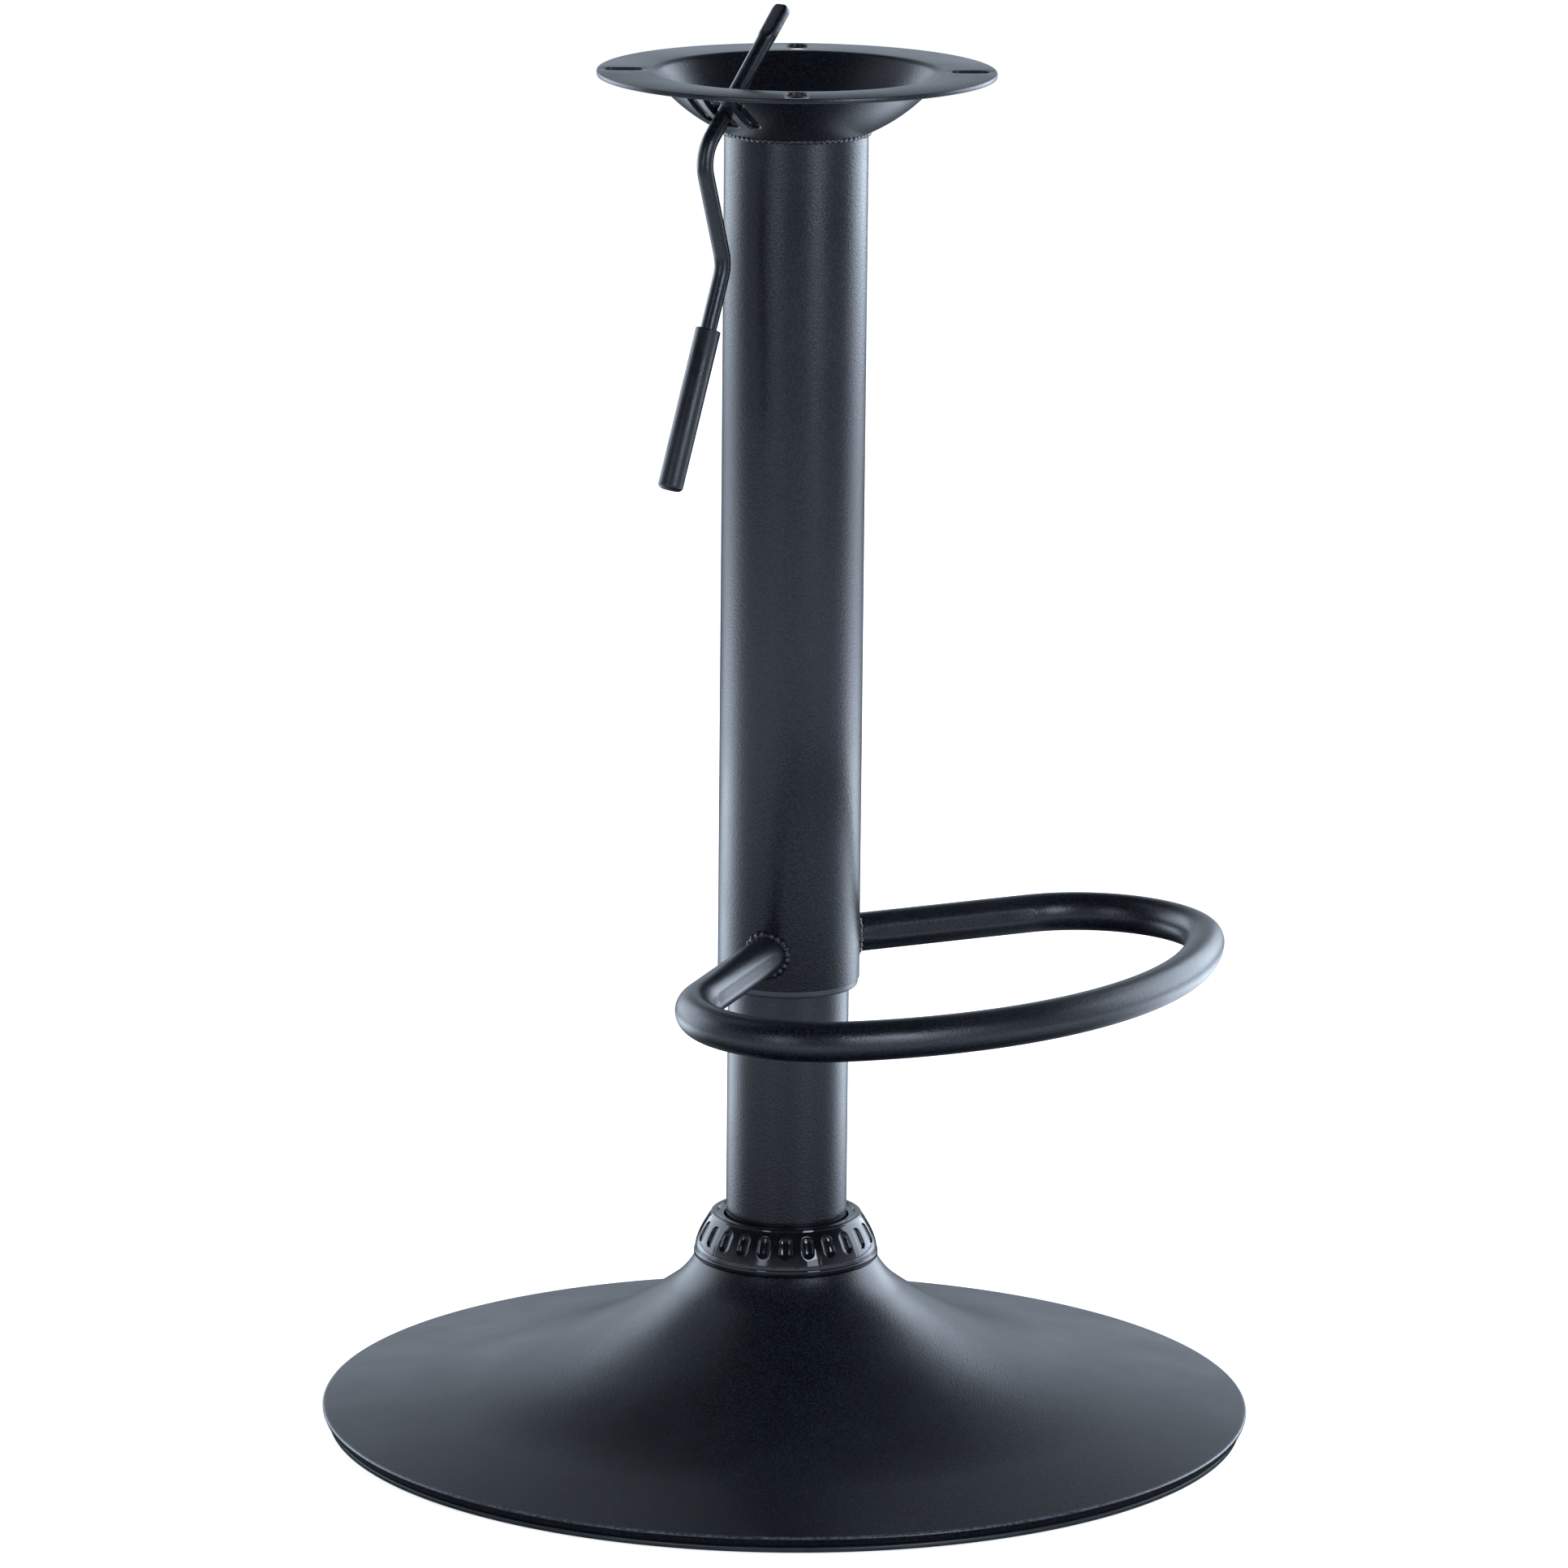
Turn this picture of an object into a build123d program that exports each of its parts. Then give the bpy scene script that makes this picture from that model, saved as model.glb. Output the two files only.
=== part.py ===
"""Bar stool base: trumpet foot, gas lift column, sliding sleeve with footrest, seat plate and lever.

Millimetres, +Z up. The origin is the centre of the foot on the floor. The stool is at its lowest.
"""

import os
from math import atan2, cos, degrees, hypot, radians, sin, sqrt, tan

from build123d import *

# Clearances
PART_GAP = 0.1          # between round faces that are pressed or welded together
RUN_FIT = 0.06          # radial, shaft in hole, turning or sliding
REST_GAP = 0.3          # between faces of pieces that move apart

# Foot: spun dish, rolled rim, floor ring
BASE_R = 192.5          # outside of the rolled rim
BASE_SHEET = 1.5
RIM_SLOPE = 10.0        # degrees, skirt of the dish next to the rim
FLARE_STEEP = 36.0      # degrees, where the neck curve runs into the flare
NECK_STEEP = 62.0       # degrees, just under the collar
NECK_CURVE_R = 36.0
NECK_TOP_Z = 70.8
SHOULDER_R = 36.4       # flat top of the neck
SHOULDER_ROUND = 1.8
HEM_INSIDE_R = 0.35     # inside of the rolled rim
HEM_LENGTH = 9.0
RING_FOOT_H = 2.2       # floor ring: part that shows under the rim
RING_GROOVE = 1.3       # shadow gap between ring and rim
RING_SET_IN = 2.5
RING_NECK_SET_IN = 5.5
RING_WIDTH = 12.0

# Hub under the neck
HUB_BOTTOM_Z = 8.0
HUB_WALL = 5.0
BRACE_Z = 10.0
BRACE_SHEET = 1.5
BRACE_COLLAR_H = 12.0
BRACE_HOLES = 6
BRACE_HOLE_R = 24.0

# Trim collar
COLLAR_BOTTOM_R = 38.2
COLLAR_TOP_R = 31.4
COLLAR_H = 18.2
COLLAR_LIP_H = 2.4
COLLAR_LIP_STEP = 0.5
COLLAR_BULGE = 0.9
COLLAR_WALL = 2.8
COLLAR_TOP_STEP = 1.0
COLLAR_TOP_RIM = 1.7
COLLAR_BORE_GAP = 0.8   # radial, round the column
RECESS_COUNT = 24
RECESS_LENGTH = 9.9
RECESS_WIDTH = 5.8
RECESS_DEPTH = 1.1
RECESS_RISE = 10.9      # middle of a recess above the foot of the collar

# Column
COLUMN_R = 25.0
COLUMN_WALL = 1.5
COLUMN_FOOT_Z = 10.0
COLUMN_LENGTH = 460.0
COLUMN_TAPER_LENGTH = 58.0
COLUMN_TAPER = 1.4      # degrees
END_PLATE_LIFT = 5.0
END_PLATE_T = 4.0
GUIDE_LENGTH = 75.0
GUIDE_HEAD_T = 3.0

# Thrust bearing and rod of the gas lift
ROD_R = 5.0
RACE_T = 2.0
RACE_R = 11.0
BALL_R = 2.0
BALL_COUNT = 9
BALL_GAP = 0.05
CAGE_T = 1.6
SHOULDER_T = 4.0
ROD_SHOULDER_R = 8.0
BUMPER_H = 35.0
BUMPER_R = 11.0
WASHER_T = 2.0
WASHER_R = 10.0
CLIP_T = 1.2
CLIP_R = 8.0
CLIP_GROOVE = 1.0
ROD_TAIL = 1.5
PISTON_H = 16.0
PISTON_SPIGOT_R = 3.5
PISTON_RIVET_H = 2.0
PISTON_SEAL_H = 3.2
PISTON_SEAL_T = 2.0
LIFT_TRAVEL = 210.0
PISTON_MARGIN = 12.0    # left between piston and rod seal at full height

# Pressure tube
TUBE_R = 14.0
TUBE_WALL = 1.5
TUBE_LIP = 3.0
TUBE_TAPER_LENGTH = 60.0
TUBE_TAPER = 0.76       # degrees
TUBE_STAND = 6.2        # top of the tube above the rim of its hole in the bowl
CYLINDER_R = 11.2
CYLINDER_WALL = 1.0
ROD_GUIDE_H = 18.0
ROD_SEAL_H = 8.0
VALVE_H = 38.0
VALVE_BORE_DEPTH = 26.0
BUTTON_R = 4.0
BUTTON_STAND = 6.0
BUTTON_TRAVEL = 4.0
BUTTON_ROUND = 1.0
SOCKET_R = 19.9
SOCKET_LENGTH = 54.0
SOCKET_STAND = 2.0

# Sleeve and its bush
SLEEVE_WALL = 1.5
SLEEVE_FOOT_Z = 189.3
SLEEVE_LENGTH = 351.6
BUSH_WALL = 2.6
BUSH_LENGTH = 37.0
BUSH_LIP_H = 3.0
BUSH_LIP_SET_IN = 0.6
BUSH_LIP_ROUND = 1.2

# Seat plate
PLATE_SHEET = 2.0
FLANGE_R = 81.0
BOWL_R = 73.7           # outside of the ball-shaped bowl
MOUTH_R = 57.4
MOUTH_ROUND = 4.5
BOLT_CIRCLE_R = 70.0
BOLT_SLOTS = 4
BOLT_SLOT_LENGTH = 16.0
BOLT_SLOT_WIDTH = 8.0
LEVER_SLOT_ANGLE = 41.2  # middle of the slots, degrees from the bottom of the bowl
LEVER_SLOT_LENGTH = 21.5
LEVER_SLOT_WIDTH = 8.0
SIDE_SLOT_WIDTH = 5.6
STRIP_WIDTH = 4.6
SLOT_CORNER_R = 2.5
WELD_R = 1.6

# Footrest, in plan from the column axis
FOOT_TUBE_R = 8.0
FOOT_TUBE_WALL = 1.2
FOOT_RISE = 15.3        # above the foot of the sleeve
FOOT_TURN = 49.3        # degrees, from the front towards +X
FOOT_REACH = 167.2      # axis to middle of the front bar
FOOT_HALF_WIDTH = 133.8
FOOT_FRONT_R = 188.0
FOOT_CORNER_R = 50.0

# Lever
LEVER_TURN = -39.0      # degrees, from the front towards +X
LEVER_PIVOT_ANGLE = 39.2  # place of the ears, degrees from the bottom of the bowl
LEVER_HANG = 3.4        # degrees that the free lever hangs off square to the bowl
LEVER_R = 3.35
LEVER_EAR_R = 2.0
LEVER_EAR_SPAN = 16.0
LEVER_INNER = 51.0      # pivot to tip
LEVER_REACH = 24.0      # pivot to first bend
LEVER_DROP = 47.9       # first bend to second
LEVER_HANDLE = 93.5     # second bend to end of grip
LEVER_BEND_OUT = 60.0   # degrees
LEVER_BEND_BACK = 38.2
LEVER_BEND_R = 15.8
TIP_LENGTH = 16.0
TIP_WIDTH = 7.4
TIP_THICK = 4.4
TIP_ROUND = 1.5
GRIP_LENGTH = 66.6
GRIP_R = 5.15
GRIP_ROUND = 2.0
GRIP_END_WALL = 5.0

# Places that follow from the sizes above
RIM_BEAD_R = BASE_SHEET + HEM_INSIDE_R
RING_H = RING_FOOT_H + RING_GROOVE
COLLAR_TOP_Z = NECK_TOP_Z + COLLAR_H
COLUMN_TOP_Z = COLUMN_FOOT_Z + COLUMN_LENGTH
COLUMN_BORE_R = COLUMN_R - COLUMN_WALL
COLUMN_SHRINK = COLUMN_TAPER_LENGTH * tan(radians(COLUMN_TAPER))
TAPER_TOP_Z = COLUMN_FOOT_Z + COLUMN_TAPER_LENGTH
HUB_R = COLUMN_R + PART_GAP + HUB_WALL
END_PLATE_Z = COLUMN_FOOT_Z + END_PLATE_LIFT
LOWER_RACE_Z = END_PLATE_Z + END_PLATE_T
BALL_Z = LOWER_RACE_Z + RACE_T + BALL_GAP + BALL_R
BALL_CIRCLE_R = (ROD_R + RACE_R) / 2 + RUN_FIT
UPPER_RACE_Z = BALL_Z + BALL_R + BALL_GAP
ROD_SHOULDER_Z = UPPER_RACE_Z + RACE_T
BUMPER_Z = ROD_SHOULDER_Z + SHOULDER_T
TUBE_FOOT_Z = BUMPER_Z + BUMPER_H + REST_GAP
TUBE_BORE_R = TUBE_R - TUBE_WALL
ROD_GUIDE_Z = TUBE_FOOT_Z + TUBE_WALL
ROD_SEAL_Z = ROD_GUIDE_Z + ROD_GUIDE_H
CYLINDER_Z = ROD_SEAL_Z + ROD_SEAL_H
CYLINDER_BORE_R = CYLINDER_R - CYLINDER_WALL
PISTON_Z = CYLINDER_Z + LIFT_TRAVEL + PISTON_MARGIN
WASHER_Z = END_PLATE_Z - PART_GAP - WASHER_T
CLIP_Z = WASHER_Z - CLIP_T
SLEEVE_BORE_R = COLUMN_R + RUN_FIT + BUSH_WALL + PART_GAP
SLEEVE_R = SLEEVE_BORE_R + SLEEVE_WALL
SLEEVE_TOP_Z = SLEEVE_FOOT_Z + SLEEVE_LENGTH
FOOT_Z = SLEEVE_FOOT_Z + FOOT_RISE
BOWL_CENTRE_Z = SLEEVE_TOP_Z + sqrt(BOWL_R**2 - SLEEVE_R**2)
BOWL_INNER_R = BOWL_R - PLATE_SHEET
FLANGE_Z = BOWL_CENTRE_Z - sqrt(BOWL_INNER_R**2 - MOUTH_R**2)
BOWL_HOLE_R = SOCKET_R + PART_GAP
BOWL_HOLE_Z = BOWL_CENTRE_Z - sqrt(BOWL_INNER_R**2 - BOWL_HOLE_R**2)
TUBE_TOP_Z = BOWL_HOLE_Z + TUBE_STAND
TUBE_SHRINK = TUBE_TAPER_LENGTH * tan(radians(TUBE_TAPER))
VALVE_TOP_Z = TUBE_TOP_Z - TUBE_WALL
VALVE_Z = VALVE_TOP_Z - VALVE_H
SOCKET_TOP_Z = BOWL_HOLE_Z + SOCKET_STAND
EAR_SEAT_R = sqrt(BOWL_INNER_R**2 - (LEVER_EAR_SPAN / 2) ** 2)
LEVER_PIVOT_R = EAR_SEAT_R - REST_GAP - LEVER_EAR_R


def heading(turn):
    """Level unit vector, turned from the front (-Y) towards +X by this many degrees."""
    return Vector(sin(radians(turn)), -cos(radians(turn)), 0)


def turned(points, radii=0):
    """Solid of revolution about Z of a closed outline of (radius, height) points."""
    outline = FilletPolyline(*points, radius=radii, close=True)
    return revolve(Plane.XZ * make_face(outline), Axis.Z)


def tube(outer_r, bore_r, low_z, high_z):
    """Plain round tube about Z."""
    return turned([(bore_r, low_z), (outer_r, low_z), (outer_r, high_z), (bore_r, high_z)])


def thicken(lines, sheet, side):
    """Solid of revolution of a sheet that has these lines on its outside."""
    section = make_face(offset(Wire(lines), sheet, side=side).edges())
    return revolve(Plane.XZ * section, Axis.Z)


def column_r(z):
    """Outside radius of the column, which tapers towards its foot."""
    return COLUMN_R - COLUMN_SHRINK * max(0, TAPER_TOP_Z - z) / COLUMN_TAPER_LENGTH


def pressure_tube_r(z):
    """Outside radius of the pressure tube, which tapers towards its top."""
    taper_z = TUBE_TOP_Z - TUBE_TAPER_LENGTH
    return TUBE_R - TUBE_SHRINK * max(0, z - taper_z) / TUBE_TAPER_LENGTH


def rim_start():
    """Point where the skirt of the dish runs into the rolled rim."""
    slope = radians(RIM_SLOPE)
    centre = Vector(BASE_R - RIM_BEAD_R, RING_H + RIM_BEAD_R)
    return centre + RIM_BEAD_R * Vector(sin(slope), cos(slope))


def base_dish():
    """Spun dish: neck, flare in one tangent arc, straight skirt, rim rolled under."""
    hole_r = COLUMN_R + REST_GAP
    flat = Line((hole_r, NECK_TOP_Z), (SHOULDER_R, NECK_TOP_Z))
    shoulder = JernArc(flat @ 1, flat % 1, SHOULDER_ROUND, -NECK_STEEP)
    neck = JernArc(shoulder @ 1, shoulder % 1, NECK_CURVE_R, NECK_STEEP - FLARE_STEEP)
    start = neck @ 1
    rim = rim_start()
    steep, flatter = tan(radians(FLARE_STEEP)), tan(radians(RIM_SLOPE))
    corner_r = (start.Y - rim.Y + steep * start.X - flatter * rim.X) / (steep - flatter)
    leg = (corner_r - start.X) / cos(radians(FLARE_STEEP))
    flare_turn = FLARE_STEEP - RIM_SLOPE
    flare_r = leg / tan(radians(flare_turn / 2))
    flare = JernArc(start, neck % 1, flare_r, flare_turn)
    skirt = Line(flare @ 1, rim)
    bead = JernArc(rim, skirt % 1, RIM_BEAD_R, RIM_SLOPE - 180)
    hem = Line(bead @ 1, (bead @ 1) - Vector(HEM_LENGTH, 0))
    return thicken([flat, shoulder, neck, flare, skirt, bead, hem], BASE_SHEET, Side.RIGHT)


def floor_ring():
    """Moulded edging: a foot that shows under the rim and a neck seated in the rolled hem."""
    outer_r = BASE_R - RING_SET_IN
    inner_r = outer_r - RING_WIDTH
    neck_r = BASE_R - RING_NECK_SET_IN
    points = [
        (inner_r, 0),
        (outer_r, 0),
        (outer_r, RING_FOOT_H),
        (neck_r, RING_FOOT_H),
        (neck_r, RING_H),
        (inner_r, RING_H),
    ]
    edge = RING_FOOT_H / 4
    return turned(points, [0, edge, edge, 0, 0, 0])


def hub_socket():
    """Tapered hub, welded under the flat of the neck."""
    top = NECK_TOP_Z - BASE_SHEET
    return turned([
        (column_r(HUB_BOTTOM_Z) + PART_GAP, HUB_BOTTOM_Z),
        (HUB_R, HUB_BOTTOM_Z),
        (HUB_R, top),
        (column_r(top) + PART_GAP, top),
    ])


def hub_brace():
    """Pressed plate from the hub to the underside of the skirt, with round lightening holes."""
    inner_r = HUB_R + PART_GAP
    rim = rim_start()
    slope = radians(RIM_SLOPE)
    under = BASE_SHEET / cos(slope) + PART_GAP
    plate_top = BRACE_Z + BRACE_SHEET
    outer_r = rim.X - (plate_top + under - rim.Y) / tan(slope)
    plate = turned([
        (inner_r, BRACE_Z),
        (outer_r, BRACE_Z),
        (outer_r, plate_top),
        (inner_r + BRACE_SHEET, plate_top),
        (inner_r + BRACE_SHEET, BRACE_Z + BRACE_COLLAR_H),
        (inner_r, BRACE_Z + BRACE_COLLAR_H),
    ])
    hole = Pos(0, 0, BRACE_Z) * extrude(Circle(BRACE_HOLE_R), BRACE_SHEET * 2, both=True)
    return plate - PolarLocations((inner_r + outer_r) / 2, BRACE_HOLES) * hole


def neck_collar():
    """Moulded ring: lip, bulged side, stepped top and a row of long scooped recesses."""
    low, high = NECK_TOP_Z, COLLAR_TOP_Z
    lip_top = low + COLLAR_LIP_H
    side_foot = Vector(COLLAR_BOTTOM_R - COLLAR_LIP_STEP, lip_top + COLLAR_LIP_STEP)
    side_head = Vector(COLLAR_TOP_R, high - COLLAR_TOP_STEP)
    along = (side_head - side_foot).normalized()
    out = Vector(along.Y, -along.X)
    middle = (side_foot + side_head) * 0.5 + out * COLLAR_BULGE
    bore_r = COLUMN_R + COLLAR_BORE_GAP
    step_r = COLLAR_TOP_R - COLLAR_TOP_STEP - COLLAR_TOP_RIM
    ledge_z = high - COLLAR_TOP_STEP
    inner_foot_r = COLLAR_BOTTOM_R - COLLAR_WALL - COLLAR_LIP_STEP
    outline = [
        Line((inner_foot_r, low), (COLLAR_BOTTOM_R, low)),
        Line((COLLAR_BOTTOM_R, low), (COLLAR_BOTTOM_R, lip_top)),
        Line((COLLAR_BOTTOM_R, lip_top), side_foot),
        ThreePointArc(side_foot, middle, side_head),
        RadiusArc(side_head, (COLLAR_TOP_R - COLLAR_TOP_STEP, high), -COLLAR_TOP_STEP),
        Polyline(
            (COLLAR_TOP_R - COLLAR_TOP_STEP, high),
            (step_r, high),
            (step_r, ledge_z),
            (bore_r, ledge_z),
            (bore_r, ledge_z - COLLAR_WALL / 2),
            (inner_foot_r, lip_top),
            (inner_foot_r, low),
        ),
    ]
    ring = revolve(Plane.XZ * make_face(outline), Axis.Z)
    rise = (low + RECESS_RISE - side_foot.Y) / (side_head.Y - side_foot.Y)
    seat = side_foot + (side_head - side_foot) * rise + out * COLLAR_BULGE
    face = Plane((0, -seat.X, seat.Y), x_dir=(0, -along.X, along.Y), z_dir=(0, -out.X, out.Y))
    scoop_r = ((RECESS_WIDTH / 2) ** 2 + RECESS_DEPTH**2) / (2 * RECESS_DEPTH)
    straight = RECESS_LENGTH - RECESS_WIDTH
    scoop = Cylinder(scoop_r, straight, rotation=(0, 90, 0))
    scoop += Locations((straight / 2, 0, 0), (-straight / 2, 0, 0)) * Sphere(scoop_r)
    recess = face.offset(scoop_r - RECESS_DEPTH) * scoop
    return ring - PolarLocations(0, RECESS_COUNT) * recess


def column_tube():
    """Fixed column, tapered at its foot to wedge in the hub."""
    shrunk = COLUMN_SHRINK
    return turned([
        (COLUMN_BORE_R - shrunk, COLUMN_FOOT_Z),
        (COLUMN_R - shrunk, COLUMN_FOOT_Z),
        (COLUMN_R, TAPER_TOP_Z),
        (COLUMN_R, COLUMN_TOP_Z),
        (COLUMN_BORE_R, COLUMN_TOP_Z),
        (COLUMN_BORE_R, TAPER_TOP_Z),
    ])


def column_end_plate():
    """Plate in the foot of the column, with the hole that the rod turns in."""
    low, high = END_PLATE_Z, END_PLATE_Z + END_PLATE_T
    fit = COLUMN_WALL + PART_GAP
    bore_r = ROD_R + RUN_FIT
    return turned([
        (bore_r, low),
        (column_r(low) - fit, low),
        (column_r(high) - fit, high),
        (bore_r, high),
    ])


def guide_sleeve():
    """Plastic guide in the head of the column, with a head over the column's edge."""
    bore_r = TUBE_R + RUN_FIT
    body_r = COLUMN_BORE_R - PART_GAP
    foot = COLUMN_TOP_Z - GUIDE_LENGTH
    head = COLUMN_TOP_Z + GUIDE_HEAD_T
    return turned([
        (bore_r, foot),
        (body_r, foot),
        (body_r, COLUMN_TOP_Z),
        (COLUMN_R, COLUMN_TOP_Z),
        (COLUMN_R, head),
        (bore_r, head),
    ])


def bearing_lower_race():
    """Hardened washer on the end plate."""
    return tube(RACE_R, ROD_R + REST_GAP, LOWER_RACE_Z, LOWER_RACE_Z + RACE_T)


def bearing_balls():
    """Ring of loose balls, one solid each."""
    return Compound(PolarLocations(BALL_CIRCLE_R, BALL_COUNT) * (Pos(0, 0, BALL_Z) * Sphere(BALL_R)))


def bearing_cage():
    """Flat cage with one hole for each ball."""
    margin = REST_GAP
    ring = tube(RACE_R - margin, ROD_R + margin, BALL_Z - CAGE_T / 2, BALL_Z + CAGE_T / 2)
    hole = Pos(0, 0, BALL_Z) * Cylinder(BALL_R + RUN_FIT, CAGE_T * 2)
    return ring - PolarLocations(BALL_CIRCLE_R, BALL_COUNT) * hole


def bearing_upper_race():
    """Hardened washer under the shoulder of the rod."""
    return tube(RACE_R, ROD_R + PART_GAP, UPPER_RACE_Z, UPPER_RACE_Z + RACE_T)


def piston_rod():
    """Turned rod: clip groove, shoulder on the bearing, spigot riveted over the piston."""
    foot = CLIP_Z - ROD_TAIL
    groove_r = ROD_R - CLIP_GROOVE
    rivet_z = PISTON_Z + PISTON_H
    rivet_r = (PISTON_SPIGOT_R + ROD_R) / 2
    return turned([
        (0, foot),
        (ROD_R, foot),
        (ROD_R, CLIP_Z),
        (groove_r, CLIP_Z),
        (groove_r, CLIP_Z + CLIP_T),
        (ROD_R, CLIP_Z + CLIP_T),
        (ROD_R, ROD_SHOULDER_Z),
        (ROD_SHOULDER_R, ROD_SHOULDER_Z),
        (ROD_SHOULDER_R, BUMPER_Z),
        (ROD_R, BUMPER_Z),
        (ROD_R, PISTON_Z),
        (PISTON_SPIGOT_R, PISTON_Z),
        (PISTON_SPIGOT_R, rivet_z),
        (rivet_r, rivet_z),
        (rivet_r, rivet_z + PISTON_RIVET_H),
        (0, rivet_z + PISTON_RIVET_H),
    ])


def piston():
    """Piston with a groove round its middle for the seal."""
    bore_r = PISTON_SPIGOT_R + PART_GAP
    outer_r = CYLINDER_BORE_R - RUN_FIT
    groove_r = outer_r - PISTON_SEAL_T
    groove_low = PISTON_Z + (PISTON_H - PISTON_SEAL_H) / 2
    groove_high = groove_low + PISTON_SEAL_H
    top = PISTON_Z + PISTON_H
    return turned([
        (bore_r, PISTON_Z),
        (outer_r, PISTON_Z),
        (outer_r, groove_low),
        (groove_r, groove_low),
        (groove_r, groove_high),
        (outer_r, groove_high),
        (outer_r, top),
        (bore_r, top),
    ])


def piston_seal():
    """Ring seal in the piston's groove."""
    outer_r = CYLINDER_BORE_R - RUN_FIT
    low = PISTON_Z + (PISTON_H - PISTON_SEAL_H) / 2
    return tube(outer_r, outer_r - PISTON_SEAL_T + PART_GAP, low, low + PISTON_SEAL_H)


def rubber_bumper():
    """Rubber buffer that stops the pressure tube at the lowest height, waisted to give."""
    bore_r = ROD_R + PART_GAP
    top = BUMPER_Z + BUMPER_H
    waist_r = (bore_r + BUMPER_R) / 2
    waist_z = BUMPER_Z + BUMPER_H / 2
    return turned([
        (bore_r, BUMPER_Z),
        (BUMPER_R, BUMPER_Z),
        (BUMPER_R, BUMPER_Z + BUMPER_H / 3),
        (waist_r, waist_z),
        (BUMPER_R, top - BUMPER_H / 3),
        (BUMPER_R, top),
        (bore_r, top),
    ])


def rod_washer():
    """Washer between the end plate and the clip."""
    return tube(WASHER_R, ROD_R + PART_GAP, WASHER_Z, WASHER_Z + WASHER_T)


def retaining_clip():
    """Open spring clip in the rod's groove."""
    bore_r = ROD_R - CLIP_GROOVE + RUN_FIT
    ring = tube(CLIP_R, bore_r, CLIP_Z, CLIP_Z + CLIP_T)
    mouth = Pos(0, -CLIP_R, CLIP_Z) * Box(2 * CLIP_GROOVE + bore_r, 2 * CLIP_R - bore_r, CLIP_T * 4)
    return ring - mouth


def pressure_tube():
    """Drawn tube: foot rolled in under the rod guide, top tapered and rolled in over the valve."""
    lip_r = TUBE_BORE_R - TUBE_LIP
    taper_z = TUBE_TOP_Z - TUBE_TAPER_LENGTH
    top_r = pressure_tube_r(TUBE_TOP_Z)
    return turned([
        (lip_r, TUBE_FOOT_Z),
        (TUBE_R, TUBE_FOOT_Z),
        (TUBE_R, taper_z),
        (top_r, TUBE_TOP_Z),
        (top_r - TUBE_WALL - TUBE_LIP, TUBE_TOP_Z),
        (top_r - TUBE_WALL - TUBE_LIP, VALVE_TOP_Z),
        (pressure_tube_r(VALVE_TOP_Z) - TUBE_WALL, VALVE_TOP_Z),
        (TUBE_BORE_R, taper_z),
        (TUBE_BORE_R, ROD_GUIDE_Z),
        (lip_r, ROD_GUIDE_Z),
    ], [0, TUBE_WALL / 2, 0, TUBE_WALL / 2, 0, 0, 0, 0, 0, 0])


def inner_cylinder():
    """Thin tube that the piston runs in, held between rod seal and valve."""
    return tube(CYLINDER_R, CYLINDER_BORE_R, CYLINDER_Z, VALVE_Z)


def rod_guide():
    """Guide bush in the foot of the pressure tube."""
    return tube(TUBE_BORE_R - PART_GAP, ROD_R + RUN_FIT, ROD_GUIDE_Z, ROD_SEAL_Z)


def rod_seal():
    """Rubber seal over the guide bush."""
    return tube(TUBE_BORE_R - PART_GAP, ROD_R + RUN_FIT, ROD_SEAL_Z, CYLINDER_Z)


def valve_body():
    """Valve block in the top of the tube, bored for the button."""
    fit = TUBE_WALL + PART_GAP
    bore_r = BUTTON_R + RUN_FIT
    bore_z = VALVE_TOP_Z - VALVE_BORE_DEPTH
    return turned([
        (0, VALVE_Z),
        (pressure_tube_r(VALVE_Z) - fit, VALVE_Z),
        (pressure_tube_r(VALVE_TOP_Z) - fit, VALVE_TOP_Z),
        (bore_r, VALVE_TOP_Z),
        (bore_r, bore_z),
        (0, bore_z),
    ])


def release_button():
    """Valve button, which stands above the tube and sinks by its travel."""
    foot = VALVE_TOP_Z - VALVE_BORE_DEPTH + BUTTON_TRAVEL + REST_GAP
    top = TUBE_TOP_Z + BUTTON_STAND
    return turned([(0, foot), (BUTTON_R, foot), (BUTTON_R, top), (0, top)], [0, 0, BUTTON_ROUND, 0])


def taper_socket():
    """Tapered bush, welded in the bottom of the bowl, that wedges on the pressure tube."""
    low = SOCKET_TOP_Z - SOCKET_LENGTH
    return turned([
        (pressure_tube_r(low) + PART_GAP, low),
        (SOCKET_R, low),
        (SOCKET_R, SOCKET_TOP_Z),
        (pressure_tube_r(SOCKET_TOP_Z) + PART_GAP, SOCKET_TOP_Z),
    ])


def sleeve_tube():
    """Sliding sleeve, its top shaped to the bowl."""
    blank = tube(SLEEVE_R, SLEEVE_BORE_R, SLEEVE_FOOT_Z, SLEEVE_TOP_Z + WELD_R)
    return blank - Pos(0, 0, BOWL_CENTRE_Z) * Sphere(BOWL_R + PART_GAP)


def sleeve_bush():
    """Plastic bush in the foot of the sleeve, with a rounded lip below its edge."""
    bore_r = COLUMN_R + RUN_FIT
    body_r = SLEEVE_BORE_R - PART_GAP
    lip_r = SLEEVE_R - BUSH_LIP_SET_IN
    low = SLEEVE_FOOT_Z - BUSH_LIP_H
    return turned([
        (bore_r, low),
        (lip_r, low),
        (lip_r, SLEEVE_FOOT_Z),
        (body_r, SLEEVE_FOOT_Z),
        (body_r, low + BUSH_LENGTH),
        (bore_r, low + BUSH_LENGTH),
    ], [0, BUSH_LIP_ROUND, 0, 0, 0, 0])


def lever_direction():
    """Unit vector from the middle of the bowl's ball out through the middle of the lever slot."""
    down = radians(LEVER_SLOT_ANGLE)
    return heading(LEVER_TURN) * sin(down) - Vector(0, 0, cos(down))


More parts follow.
